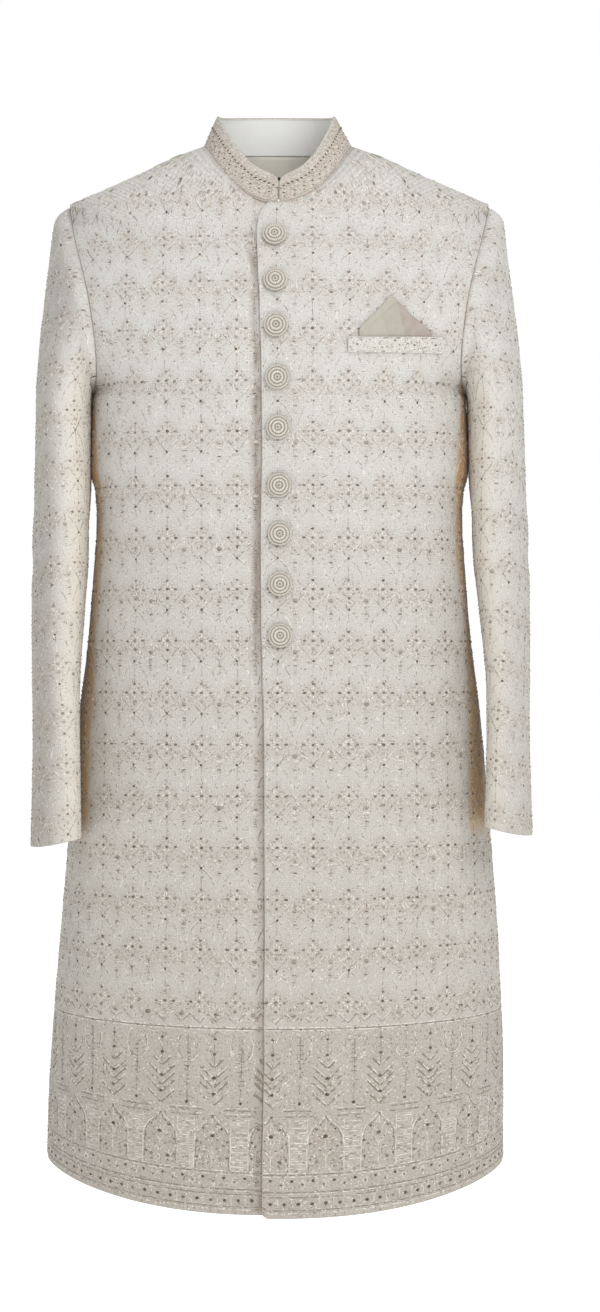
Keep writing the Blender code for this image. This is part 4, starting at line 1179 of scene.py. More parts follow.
def border_tree():
    """Threads of one tree of the border, over its arch, and their middle line at 0 across."""
    tree = []
    for apex, reach in TREE_BRANCHES:
        # each branch is a darker line with a pale one 1.8 mm above: the darker one is painted shadow
        # under the raised pale one, darker still on the left arms, turned from the light
        for side, shade in ((-1.0, 0.0), (1.0, 0.16)):
            for lift, width, tone in ((0.0, 1.6, shade), (1.8, 1.2, 0.48)):
                path = [(0.7 * side, apex + lift), (reach * side, apex + lift + 0.86 * reach)]
                tree.append(chain(path, width, height=0.7, tone=tone))
    tree.append(chain([(0.0, 172.5), (0.0, 141.0)], 0.8, tone=0.2))
    for inset, tone in ((0.0, 0.62), (2.0, 0.18)):
        arch = [
            (18.3 - inset, 41.9), (18.3 - inset, 66.0), (17.0 - inset, 75.5),
            (13.0 - inset, 82.0), (7.6 - inset * 0.6, 86.6 - inset),
            (3.2 - inset * 0.3, 90.4 - inset), (0.0, 94.6 - inset)]
        tree += [chain(path, 1.0, height=0.7, tone=tone) for path in both_sides(arch)]
    for leaf in ARCH_LEAVES:
        tree += [chain(path, 0.8) for path in both_sides(leaf)]
    angles = np.arange(8) * math.pi / 4.0
    for across, up in ((9.7, 50.5), (-9.7, 50.5), (0.0, 74.3)):
        tree.append(stitches(
            across + 3.3 * np.cos(angles), up + 3.3 * np.sin(angles), 2.6, 0.9, 0.55, angles, 0.5))
    tree.append(chain([(0.0, 44.0), (0.0, 90.0)], 0.8))
    return np.concatenate(tree)


def border_mast():
    """Threads of the mast between two trees, with its middle line at 0 across."""
    mast = []
    for inset, tone in ((0.0, 0.58), (1.4, 0.30)):
        ring = [
            (9.0 - inset, 170.4), (11.4 - inset, 162.0), (10.0 - inset, 152.0),
            (5.0, 146.0 + inset), (0.0, 144.6 + inset)]
        mast += [chain(path, 0.9, height=0.7, tone=tone) for path in both_sides(ring)]
    mast += rungs(np.arange(122.8, 165.0, 4.33), 5 * (2.1, 3.4), 10 * (0.25,), width=0.9)
    mast.append(chain([(0.0, 170.0), (0.0, 109.0)], 0.8, tone=0.2))
    mast += rungs((100.9, 98.6, 95.5, 93.2), 4 * (15.6,), 2 * (0.6, 0.15), width=0.8)
    mast += rungs(
        np.arange(42.6, 90.0, 2.35), 21 * (7.6,), 11 * (0.42, 0.56), width=0.9, step=3.6,
        height=0.45)
    mast += [chain(path, 0.8) for path in both_sides([(8.6, 41.9), (8.6, 90.5)])]
    return np.concatenate(mast)


def hem_border(start):
    """Threads and spangles of the border: trees over arches, and rows of spangles below."""
    trees = np.array([(start + BORDER_PITCH * k, 0.0) for k in range(-BORDER_TREES, BORDER_TREES)])
    between = trees + (BORDER_PITCH / 2.0, 0.0)
    threads = [stamped(border_tree(), trees), stamped(border_mast(), between)]
    threads += [
        level_line(BORDER_TOP + 1.4, 1.1, 2.0, 0.30, 0.8, 0.60),
        level_line(BORDER_TOP, 1.0, height=0.5, tone=0.0),
        level_line(BORDER_TOP - 1.4, 0.9, tone=0.6), level_line(41.2), level_line(39.6, tone=0.1),
        level_line(38.0), level_line(23.8, tone=0.1), level_line(22.4), level_line(19.2, tone=0.1),
        level_line(7.4, tone=0.1), level_line(4.8, 1.1, 2.0, 0.30, 0.8, 0.55)]
    small = [chain(path, 0.8) for path in both_sides([(0.0, 27.0), (3.0, 31.0), (0.0, 35.4)])]
    ladder = [chain([(0.0, 8.6), (0.0, 18.2)], 0.8)]
    ladder += rungs((8.8, 17.8), (1.9, 1.9), (0.6, 0.6), width=0.8)
    for pattern, spacing in ((small, SMALL_PITCH), (ladder, LADDER_PITCH)):
        places = np.arange(-30.0, 30.0) * spacing + start + spacing / 2.0
        at = np.column_stack((places, np.zeros(len(places))))
        threads.append(stamped(np.concatenate(pattern), at))
    tree_dots = list(TREE_DOTS)
    for side in (1.0, -1.0):
        tree_dots += [dot._replace(across=side * dot.across) for dot in TREE_SIDE_DOTS]
    dots = [
        stamped(dotted(tree_dots), trees), stamped(dotted(MAST_DOTS), between),
        level_dots(start, SMALL_PITCH, 34.3, 1.8, 1.5),
        level_dots(start + SMALL_PITCH / 2.0, SMALL_PITCH, 30.8, 0.9, 0.8),
        level_dots(start, LADDER_PITCH, 13.3, 2.0, 1.7)]
    return np.concatenate(threads), np.concatenate(dots)


def crowding(across, up, spangles):
    """How closely spangles lie round places, from 0 to 1, worked out band by band."""
    made = np.zeros(len(across))
    rows = spangles[np.argsort(spangles[:, UP])]
    for start in np.arange(up.min(), up.max() + BAND, BAND):
        here = (up >= start) & (up < start + BAND)
        near = rows[(rows[:, UP] > start - BAND / 2.0) & (rows[:, UP] < start + 1.5 * BAND)]
        aside, above_it = across[here, None] - near[:, ACROSS], up[here, None] - near[:, UP]
        weight = near[:, LENGTH] * near[:, WIDTH] / (FULLY_CROWDED * 10.0)
        share = np.exp(-(aside**2 + above_it**2) / CROWDING_REACH**2)
        made[here] = (share * weight).sum(axis=1)
    return np.clip(made, 0.0, 1.0)


def scattered(panel, rng, spacing, spangles, close_under):
    """Short stitches strewn between the spangles, pale and dark; denser under a height."""
    low, high = panel.across.min(), panel.across.max()
    top = panel.up.max()
    count = int((high - low) * top / spacing**2)
    across, up = rng.uniform(low, high, count), rng.uniform(0.0, top, count)
    wanted = crowding(across, up, spangles) + np.where(up < close_under, *STREWN)
    kept = wanted > rng.uniform(0.0, 1.0, count)
    across, up = across[kept], up[kept]
    turn = rng.choice((0.0, 0.8, -0.8, 1.57), len(up)) + rng.normal(0.0, 0.2, len(up))
    tone = np.where(rng.random(len(up)) < 0.5, 0.1, 0.75)
    return stitches(across, up, rng.uniform(1.4, 2.8, len(up)), 0.85, 0.45, turn, tone)


def embroider(
    side, panel, threads, spangles, seed, close_under=0.0, spacing=4.1, keep=0.85,
    under_lap=False,
):
    """The threads and spangles of one panel, as two pieces; keep is how much of the threads'
    contrast stays, and less of it stays over the chest."""
    rng = np.random.default_rng(seed)
    strewn = scattered(panel, rng, spacing, spangles, close_under)
    rows = [np.concatenate((threads, strewn)), spangles]
    across, up, tone = rows[0][:, [ACROSS, UP, TONE]].T
    keep = keep * (1.0 - CHEST_FADE * eased_in(up, CHEST_FROM, 250.0))
    rows[0][:, TONE] = MIDDLE_TONE + keep * (tone - MIDDLE_TONE)
    # the threads under the lap get the same painted shadow as its cloth
    if under_lap:
        rows[0][:, TONE] -= lap_shade(panel.lay(across, up, 0.0 * up), up)
    made = []
    for name, shape, array, finish, margin, unevenness in (
        ("threads", raised_stitch(), rows[0], THREAD, 1.4, ()),
        ("spangles", rounded_spangle(), rows[1], SPANGLE, 2.2, (0.20, 0.12, 0.13)),
    ):
        kept = array[panel.inside(array[:, ACROSS], array[:, UP], margin)]
        kept = uneven(kept, rng, *unevenness)
        made.append(sewn_on(f"{name}_{side}", shape, kept, panel, finish, STITCH_SINK))
    return made


# ---------------------------------------------------------------- shells in coat cloth
def hung_across(points):
    """Across of points as if the coat hung dead straight."""
    return points[..., 0] - looked_up(SWAY, points[..., 2])[0]


def painted_bounce_and_shade(points):
    """Painted light and shade where the sleeves hang close to the body: golden bounce light, 0.6
    where light comes off it, deepening to a darker golden painted shade, 1, deep in the fold where
    the two touch."""
    x, y, z = hung_across(points), points[..., 1], points[..., 2]
    right_start, left_start, blend = looked_up(PAINTED_BOUNCE_FROM, z)
    past = np.abs(x) - np.where(x < 0.0, right_start, left_start)
    level = eased_in(z, PAINTED_BOUNCE_FOOT, 0.028) * eased_in(z, PAINTED_BOUNCE_HEAD, -0.10)
    level = level * eased_in(y, np.interp(z, *PAINTED_BOUNCE_BACK), -0.016)
    deep = eased_in(past, 0.002, 0.003) * eased_in(z, FOLD_SHADE_FOOT, 0.02)
    return (0.6 * eased_in(past, 0.0, blend) + 0.4 * deep) * level


def painted_sleeve_light(panel, mirrored):
    """Painted light on a sleeve's inner side, where the body shades it: how much paler it is made, as
    negative numbers.
    """
    inward = panel.normals[..., 0] * (1.0 if mirrored else -1.0)
    below = eased_in(panel.points[..., 2], GLOW_HEAD, -0.12)
    return -(0.5 * eased_in(inward, -0.25, 1.05) + 0.25 * eased_in(inward, 0.6, 0.35)) * below


def sleeve_shade(panel, mirrored):
    """Painted shade on the side of a sleeve turned from the light, a little greyer on the wearer's
    right.
    """
    outward = panel.normals[..., 0] * (-1.0 if mirrored else 1.0)
    return OUTER_SHADE[mirrored] * eased_in(outward, -0.1, 0.9)


def lap_shade(points, up):
    """Painted shadow of the lap on the under front, just outside the lap's edge, darker lower down.
    """
    laps = looked_up([(row.mid_z, row.lap) for row in FRONT_ROWS], points[..., 2])[0]
    past = -hung_across(points) - laps
    level = np.interp(up, *LAP_SHADE) * eased_in(past, LAP_REACH, -0.55 * LAP_REACH)
    return level * (1.0 - 0.75 * eased_in(past, LAP_EDGE, -0.0034))


def panel_shell(name, panel, spangles, **notes):
    """A panel's wall of coat cloth, with its side edges turned in."""
    points = drawn_in(panel.points, SEAM)
    points = points + panel.normals * rounded_off(panel, *EDGE_TURN)[..., None]
    piece, (r, c) = cloth_grid(name, points, panel.across, panel.up, panel.outward)
    crowded = crowding(panel.across.ravel(), panel.up.ravel(), spangles)
    notes["crowded"] = crowded.reshape(panel.across.shape)
    for kind in CLOTH_NOTES:
        note(piece, kind, notes.get(kind, np.zeros(panel.across.shape))[r, c])
    return thickened(piece, CLOTH, COAT, LINING)


COAT = coat_silk()
THREAD = silk_thread("ivory_silk_thread", "#7d7267", "#ebe8e2", "#dcc6bc")
COLLAR_THREAD = silk_thread("zardozi_thread", "#978b82", "#ddd7cf", "#cdb1a6")
SPANGLE = bronzed_spangle("bronzed_spangle", "#463f37", "#bab2a7", "#b8b0a5")
BRIGHT_BEAD = bronzed_spangle("gilt_bead", "#4b4532", "#7d7150", "#8d8262")
STAND = worked_collar()
SATIN = folded_satin()
CORD = button_cord()
LINING = twill_lining("pale_ivory_lining", "#ebe6dc", "#f5f2ea", "#e2dcd0")
STAND_LINING = twill_lining("ivory_stand_lining", "#f8f8f6", "#fdfdfc", "#f3f2ef")
BLACK_STEEL = blackened_steel()


# Creases: middle across and up, half length, half width, depth (mm), turn in degrees.
FRONT_LEFT_CREASES = (
    (150.0, 640.0, 90.0, 26.0, 1.4, 62.0),
    (235.0, 560.0, 80.0, 20.0, 1.6, 74.0),
    (120.0, 330.0, 170.0, 30.0, 1.6, 86.0),
    (215.0, 260.0, 190.0, 26.0, -2.0, 93.0),
    (60.0, 180.0, 150.0, 30.0, -1.2, 90.0),
    (250.0, 820.0, 60.0, 14.0, 1.6, 118.0),
)
FRONT_RIGHT_CREASES = (
    (145.0, 600.0, 95.0, 28.0, 1.5, 66.0),
    (225.0, 520.0, 85.0, 22.0, 1.6, 78.0),
    (110.0, 300.0, 180.0, 32.0, 1.5, 87.0),
    (200.0, 240.0, 190.0, 24.0, -1.8, 94.0),
    (245.0, 815.0, 60.0, 15.0, 1.4, 120.0),
)
BACK_CREASES = (
    (-90.0, 560.0, 110.0, 26.0, 1.6, 96.0),
    (96.0, 545.0, 110.0, 28.0, 1.7, 84.0),
    (-170.0, 300.0, 200.0, 30.0, 1.8, 88.0),
    (150.0, 280.0, 210.0, 28.0, 1.9, 93.0),
    (10.0, 250.0, 210.0, 34.0, -1.6, 91.0),
    (-200.0, 800.0, 60.0, 16.0, 1.4, 68.0),
    (205.0, 790.0, 60.0, 16.0, 1.4, 112.0),
)
UPPER_SLEEVE_CREASES = (
    (-60.0, 330.0, 70.0, 15.0, 1.7, 24.0),
    (-20.0, 290.0, 80.0, 14.0, 1.5, 12.0),
    (60.0, 345.0, 70.0, 15.0, 1.6, -18.0),
    (-95.0, 455.0, 80.0, 15.0, 1.3, 70.0),
    (-70.0, 120.0, 120.0, 9.0, -1.3, 90.0),
    (40.0, 160.0, 130.0, 18.0, 1.2, 82.0),
)
UNDER_SLEEVE_CREASES = (
    (60.0, 330.0, 60.0, 14.0, 1.4, 10.0),
    (120.0, 300.0, 60.0, 14.0, 1.5, -16.0),
    (90.0, 150.0, 120.0, 18.0, 1.0, 86.0),
)


def creased_panel(panel, creases):
    return panel.pushed(creased(panel, creases))


# ---------------------------------------------------------------- the panels of the coat
left = creased_panel(front_panel(False), FRONT_LEFT_CREASES)
right = creased_panel(front_panel(True), FRONT_RIGHT_CREASES)
back = creased_panel(back_panel(), BACK_CREASES)
upper_places = part_way(*UPPER_SLEEVE, edge_spacing(UPPER_COLUMNS, True, True))
under_places = part_way(*UNDER_SLEEVE, edge_spacing(UNDER_COLUMNS, True, True))

last_row, full_rows = ROW_HEIGHTS[:1], ROW_HEIGHTS[1:]
sheets = {}  # each panel's shell, with its stitched pieces


def straightened(panel, rows):
    """Stitches moved so that rows of the pattern stay level over the chest and shoulders,
    as woven cloth hangs, though the panel's own rows rise to the shoulder."""
    middle = int(np.argmin(np.abs(panel.across[0])))
    up, z = panel.up[:, middle], panel.points[:, middle, 2]
    up, z = np.append(up, up[-1] + 100.0), np.append(z, z[-1] + 0.098)  # on past the neck
    share = eased_in(rows[:, UP], LEVEL_FROM, LEVEL_BLEND)

    def moved(across, from_up):
        level, made = np.interp(from_up, up, z), from_up.copy()
        for _ in range(9):  # steps towards the place that lies level
            made += 0.75 * (level - panel.lay(across, made, 0.0 * made)[:, 2]) / MM
        return from_up + share * (made - from_up)

    made = rows.copy()
    across, height, turn = rows[:, [ACROSS, UP, TURN]].T
    made[:, UP] = moved(across, height)
    near = 3.0  # mm to each side, between which the cloth's stretch and rise are measured
    stretch = (moved(across, height + near) - moved(across, height - near)) / (2.0 * near)
    stretch = np.clip(stretch, 0.8, 1.25)
    rise = (moved(across + near, height) - moved(across - near, height)) / (2.0 * near)
    rise = np.clip(rise, -0.8, 0.8)
    made[:, LENGTH] *= np.hypot(np.cos(turn), stretch * np.sin(turn))
    made[:, WIDTH] *= np.hypot(np.sin(turn), stretch * np.cos(turn))
    made[:, TURN] += np.arctan(rise)
    return made


def body_sheets(
    name, panel, seed, column, count, tree, opening, pitch, spacing=4.1, under_lap=False,
):
    """A body panel's shell and its embroidery: column and tree are where the first of its
    columns and trees stands, count how many columns it has, and opening how much they open."""
    threads, spangles = hem_border(tree)
    for rows, cut_short in ((full_rows, False), (last_row, True)):
        more, spots = all_over(column, pitch, count, rows, opening, cut_short)
        threads, spangles = np.concatenate((threads, more)), np.concatenate((spangles, spots))
    for start, over, paler in PALER_UP:
        spangles[:, TONE] += paler * eased_in(spangles[:, UP], start, over)
    threads, spangles = straightened(panel, threads), straightened(panel, spangles)
    # painted golden bounce light and fold shade beside the sleeves
    notes = {"painted_glow_and_shade": painted_bounce_and_shade(panel.points)}
    notes["border"] = eased_in(panel.up, BORDER_TOP + 1.0, -2.0)
    if under_lap:
        # painted shadow of the lap's edge on the under front
        notes["shade"] = lap_shade(panel.points, panel.up)
    return (
        panel_shell(f"shell_{name}", panel, spangles, **notes),
        embroider(
            name, panel, threads, spangles, seed, BORDER_TOP - 2.0, spacing,
            under_lap=under_lap))


sheets["front_left"] = body_sheets(
    "front_left", left, seed=11, column=-1.5, count=10, tree=-3.2, opening=0.5, pitch=35.4)
sheets["front_right"] = body_sheets(
    "front_right", right, seed=12, column=41.0, count=10, tree=7.0, opening=0.9, pitch=35.6,
    under_lap=True)
sheets["back"] = body_sheets(
    "back", back, seed=13, column=-9.0 * MOTIF_PITCH, count=20, tree=0.0, opening=0.0,
    pitch=MOTIF_PITCH, spacing=6.5)

SLEEVE_ROWS, SLEEVE_COLUMNS = 14, 17
SLEEVE_START = -0.8 - 6.0 * MOTIF_PITCH  # across of the first column on an upper sleeve
for side, mirrored, swing, first_row in (
    ("left", False, LEFT_ARM, 19.6), ("right", True, 0.0, 28.0),
):
    upper = creased_panel(sleeve_panel(upper_places, swing, mirrored), UPPER_SLEEVE_CREASES)
    under = creased_panel(sleeve_panel(under_places, swing, mirrored), UNDER_SLEEVE_CREASES)
    rows = first_row + MOTIF_RISE * np.arange(SLEEVE_ROWS)
    for part, panel, start, seed in (
        (f"sleeve_upper_{side}", upper, SLEEVE_START, 21),
        (f"sleeve_under_{side}", under, SLEEVE_START - upper.across[0, -1], 22),
    ):
        threads, spangles = all_over(start, MOTIF_PITCH, SLEEVE_COLUMNS, rows)
        spangles[:, TONE] += SLEEVE_PALER
        # painted light on the sleeve's inner side, painted shade on its far side
        notes = {"painted_glow_and_shade": painted_sleeve_light(panel, mirrored), "shade": sleeve_shade(panel, mirrored)}
        sheets[part] = (
            panel_shell(f"shell_{part}", panel, spangles, **notes),
            embroider(
                part, panel, threads, spangles, seed + mirrored * 10, spacing=4.4, keep=0.48))

# ---------------------------------------------------------------- collar
collar = collar_panel()
collar_points = drawn_in(collar.points, COLLAR_GAP)
stand, _ = cloth_grid("shell_collar", collar_points, collar.across, collar.up, collar.outward)
thickened(stand, COLLAR_CLOTH, STAND, STAND_LINING)
rng = np.random.default_rng(31)
ends = collar.across[0, -1]
count = 4200  # strewn stitches on the collar
work_up = rng.uniform(2.6, 30.0, count)  # over nearly its whole height
work = stitches(
    rng.uniform(-ends, ends, count), work_up, rng.uniform(1.6, 3.0, count), 0.8, 0.5,
    rng.choice((0.6, -0.6, 1.57), count) + rng.normal(0.0, 0.25, count),
    np.where(rng.random(count) < 0.45, 0.1, np.where(work_up > COLLAR_BAND, 0.50, 0.74)))
work = work[np.abs(work_up - COLLAR_BAND + 2.3) > 1.1]  # room for the beads below the band
lines = [
    chain([(-ends, up), (ends, up)], width, 1.9, slant, height, tone)
    for up, width, slant, height, tone in (
        (COLLAR_BAND, 0.8, 0.35, 0.7, 0.5), (17.0, 0.7, 0.0, 0.5, 0.3),
        (4.0, 0.7, 0.0, 0.5, 0.2), (2.8, 0.9, 0.35, 0.7, 0.6), (1.9, 0.9, 0.0, 0.6, 0.0),
        (0.8, 1.0, 0.35, 0.8, 0.35))]
rows = np.concatenate((work, *lines))
rows = rows[collar.inside(rows[:, ACROSS], rows[:, UP], 0.4)]
collar_threads = sewn_on(
    "threads_collar", raised_stitch(), uneven(rows, rng, 0.08), collar, COLLAR_THREAD,
    STITCH_SINK)
bead_row = np.arange(-ends + 16.0, ends - 16.0, 5.1)
beads = [stitches(bead_row, 19.1, 2.2, 2.1, 1.2, 0.0, 0.2)]
for inset, up, length, width, height in (
    (9.0, 10.5, 2.2, 1.8, 1.1), (14.5, 14.4, 1.5, 1.3, 0.9), (14.5, 6.6, 1.5, 1.3, 0.9),
):
    across = np.arange(-ends + inset, ends - inset, 11.0)
    beads.append(stitches(across, up, length, width, height, 0.0))
rows = np.concatenate(beads)
collar_beads = sewn_on(
    "beads_collar", rounded_spangle(), uneven(rows, rng, 0.1), collar, BRIGHT_BEAD, -0.05)

# ---------------------------------------------------------------- buttons
BUTTON_PROFILE = (  # radius and height in mm: centre, two padded rounds, and the rim
    (0.0, 6.0), (2.6, 5.9), (3.4, 5.3), (3.9, 5.9), (4.7, 6.7), (5.6, 6.6), (6.3, 5.7), (6.7, 4.9),
    (7.2, 5.4), (8.0, 5.9), (8.9, 5.5), (9.5, 4.3), (9.8, 3.5), (10.3, 3.9), (11.1, 3.9),
    (11.7, 3.2), (12.0, 2.2), (11.6, 1.0), (10.6, 0.2), (0.0, 0.0),
)
BUTTON_RING = [(2.7, math.tau * i / 7.0, 0.7) for i in range(7)]  # beads round the middle one
BUTTON_GROOVES = (3.2, 6.7, 9.8, 12.0)  # radii in mm
GROOVE_WIDTH, GROOVE_SHADE = 0.9, 0.8  # mm to each side, and how brown: partly darker cord, partly painted shade in the hollows
WOUND_ROUNDS = (  # radius, height, stitches, stitch length, width, turn in degrees
    (5.1, 6.55, 16, 3.0, 1.2, 25.0),
    (8.1, 5.75, 26, 3.0, 1.2, 25.0),
    (11.0, 3.85, 38, 2.6, 1.3, 48.0),
)


def button_shape():
    """A domed button wound with cord, its middle at the origin and its face up."""
    shape = bmesh.new()
    line = [shape.verts.new((radius * MM, 0.0, height * MM)) for radius, height in BUTTON_PROFILE]
    edges = [shape.edges.new(pair) for pair in zip(line, line[1:])]
    bmesh.ops.spin(
        shape, geom=line + edges, cent=(0.0, 0.0, 0.0), axis=(0.0, 0.0, 1.0),
        angle=math.tau, steps=40, use_merge=True)
    bmesh.ops.remove_doubles(shape, verts=shape.verts, dist=0.00001)
    bmesh.ops.recalc_face_normals(shape, faces=shape.faces)
    for radius, height, count, length, width, slant in WOUND_ROUNDS:
        for i in range(count):
            angle = math.tau * i / count
            place = (
                Matrix.Rotation(angle, 4, "Z")
                @ Matrix.Translation((radius * MM, 0.0, (height + 0.15) * MM))
                @ Matrix.Rotation(math.radians(slant), 4, "Z")
                @ Matrix.Diagonal((length * MM, width * MM, 0.8 * MM, 1.0))
                @ Matrix.Rotation(math.pi / 4.0, 4, "Z"))
            bmesh.ops.create_cone(
                shape, cap_ends=False, segments=4, radius1=math.sqrt(0.5), radius2=0.0,
                depth=1.0, matrix=place)
    cord_faces = len(shape.faces)
    for out, angle, radius in (*BUTTON_RING, (0.0, 0.0, 1.0)):
        place = Matrix.Translation(
            (out * MM * math.cos(angle), out * MM * math.sin(angle), (6.2 - 0.25 * out) * MM))
        bmesh.ops.create_uvsphere(
            shape, u_segments=8, v_segments=6, radius=radius * MM, matrix=place)
    shape.faces.ensure_lookup_table()
    for number, face in enumerate(shape.faces):
        face.smooth = True
        face.material_index = 0 if number < cord_faces else 1
    return shape


def on_front(panel, x, z):
    """A frame on the cloth, its Z outwards, where it has that x (before sway) and height."""
    across, up = panel.spot(x + looked_up(SWAY, z)[0], z)
    one = np.ones(1)
    low = panel.lay(across * one, up * one, 0.0 * one)[0]
    high = panel.lay(across * one, up * one, one)[0]
    facing = Vector(high - low).to_track_quat("Z", "Y").to_matrix().to_4x4()
    return Matrix.Translation(Vector(low) + Vector(high - low).normalized() * CLEARANCE) @ facing


buttons = []
for number, (x, z) in enumerate(BUTTONS, start=1):
    mesh = mesh_of(f"wound_button_{number}", button_shape())
    piece = placed(mesh.name, mesh)
    local = np.array([v.co for v in mesh.vertices]) / MM
    radius = np.hypot(local[:, 0], local[:, 1])
    near = np.min(np.abs(radius[:, None] - np.array(BUTTON_GROOVES)), axis=1)
    # the grooves: partly darker cord, partly painted shade in the hollows between the rounds
    note(piece, "groove", np.clip(1.0 - near / GROOVE_WIDTH, 0.0, 1.0) * GROOVE_SHADE)
    note(piece, "tone", np.full(len(local), 0.5))
    note(piece, "crown", np.clip((local[:, 2] - 5.4) / 2.2, 0.0, 1.0))
    turned = Matrix.Rotation(0.7 * number, 4, "Z")  # no two alike
    mesh.transform(on_front(left, x, z) @ turned)
    mesh.materials.append(CORD)
    mesh.materials.append(SPANGLE)
    buttons.append(piece)

# ---------------------------------------------------------------- breast pocket
POCKET_X, POCKET_Z = (0.060, 0.170), (-0.230, -0.160)  # a field with the pocket in it
pocket_corners = np.array(
    [[left.spot(x + looked_up(SWAY, z)[0], z) for x in POCKET_X] for z in POCKET_Z])


def pocket_places(x, z):
    """Places on the left front for x (before sway) and heights round the breast pocket."""
    along = ((x - POCKET_X[0]) / (POCKET_X[1] - POCKET_X[0]))[..., None]
    rise = ((z - POCKET_Z[0]) / (POCKET_Z[1] - POCKET_Z[0]))[..., None]
    low = pocket_corners[0, 0] * (1.0 - along) + pocket_corners[0, 1] * along
    high = pocket_corners[1, 0] * (1.0 - along) + pocket_corners[1, 1] * along
    return np.moveaxis(low * (1.0 - rise) + high * rise, -1, 0)


def patch(name, x, z, height, outside, inside):
    """A wall of trimming over the breast pocket, its face a height in mm over the cloth."""
    across, up = pocket_places(x, z)
    points = left.lay(across.ravel(), up.ravel(), height.ravel()).reshape(*x.shape, 3)
    piece, order = cloth_grid(name, points, across, up, left.outward)
    return thickened(piece, TRIM_CLOTH, outside, inside), order


WELT_STAND, WELT_RISE = 1.2, 3.0  # mm over the cloth at its foot, and more at its top
WELT_SHARES = np.array((0.0, 0.04, 0.12, 0.3, 0.5, 0.7, 0.88, 0.96, 1.0))[:, None]  # its rows
(welt_x0, *_), (welt_x1, *_) = WELT_ENDS


def welt_z(along, share):
    """Height of a place on the welt, by shares of the way along it and up it."""
    _, low, high = (part_way(start, end, along) for start, end in zip(*WELT_ENDS))
    return part_way(low, high, share)


along = np.unique(np.append(np.linspace(0.0, 1.0, 48), (0.006, 0.994)))[None]
nearest = np.minimum(WELT_SHARES, 1.0 - WELT_SHARES)
turned_in = 0.7 * np.clip(1.0 - nearest / 0.12, 0.0, 1.0) ** 2  # its long edges, in mm
welt_height = CLEARANCE / MM + WELT_STAND + WELT_RISE * WELT_SHARES - turned_in + 0.0 * along
welt, _ = patch(
    "shell_pocket_welt", part_way(welt_x0, welt_x1, along) + 0.0 * WELT_SHARES,
    welt_z(along, WELT_SHARES), welt_height, COAT, LINING)
for kind in CLOTH_NOTES:
    note(welt, kind, np.zeros(len(welt.data.vertices)))

SQUARE_OUTLINE = (  # across, top edge height of the folded square
    (0.0785, -0.1985), (0.0815, -0.1935), (0.0945, -0.1805), (0.1100, -0.1625),
    (0.1225, -0.1755), (0.1360, -0.1880), (0.1490, -0.1985),
)
SQUARE_BOTTOM = -0.2090
SQUARE_FOLDS = (  # start and end of each: the left edge, the fold below its point, the right one
    ((0.1125, -0.1655), (0.0815, -0.1935)),
    ((0.1010, -0.1798), (0.1070, -0.2090)),
    ((0.1235, -0.2090), (0.1150, -0.1680)),
)
SQUARE_HEM = 4.6  # mm from the left edge to the line where its turned strip ends


def step_up(distance, width):
    """0 before an edge and 1 behind it, over a width; both in mm."""
    return smooth_share(distance / width + 0.5)


def side_of(x, z, start, end):
    """Distance in mm of places to the left of a line from start to end."""
    run = np.array(end) - np.array(start)
    run = run / np.linalg.norm(run)
    return ((x - start[0]) * -run[1] + (z - start[1]) * run[0]) / MM


xs = [x for x, _ in SQUARE_OUTLINE]
along = np.unique(np.append(np.linspace(0.0, 1.0, 96), (0.4823,)))[None]
share = np.unique(np.append(np.linspace(0.0, 1.0, 60), (0.985,)))[:, None]
square_x = xs[0] + (xs[-1] - xs[0]) * along + 0.0 * share
tall = looked_up(SQUARE_OUTLINE, square_x)[0] - SQUARE_BOTTOM
square_z = SQUARE_BOTTOM + tall * share
left_edge, lower_fold, right_fold = [side_of(square_x, square_z, *ends) for ends in SQUARE_FOLDS]
hem_fold = step_up(SQUARE_HEM - left_edge, 0.7)
square_height = (
    2.3 + 0.55 * hem_fold + 0.65 * step_up(-lower_fold, 0.8) + 0.45 * step_up(-right_fold, 1.2))
square_height -= 0.7 * eased_in(square_z, -0.2000, -0.006)  # tucked in behind the welt
square_height -= 0.5 * np.clip(1.0 - (1.0 - share) * tall / 0.0012, 0.0, 1.0) ** 2  # its top
square, (r, c) = patch("folded_square", square_x, square_z, square_height, SATIN, SATIN)
# painted light and shade on the folds: darker and pinker right of the right-hand fold, paler left of
# the lower fold and on the turned strip
tint = 0.45 + 0.55 * step_up(-right_fold, 2.0) - 0.35 * step_up(-lower_fold, 1.0)
note(square, "fold", np.clip(tint - 0.35 * hem_fold, 0.0, 1.0)[r, c])


def welt_rows(x, share, length, width, height, turn):
    """Stitches at world x on the welt, a share of the way up it, and their lifts in mm."""
    x, share = np.broadcast_arrays(np.asarray(x, dtype=float), share)
    across, up = pocket_places(x, welt_z((x - welt_x0) / (welt_x1 - welt_x0), share))
    lift = CLEARANCE / MM + WELT_STAND - 0.05 + WELT_RISE * share
    return np.column_stack((stitches(across, up, length, width, height, turn), lift.ravel()))


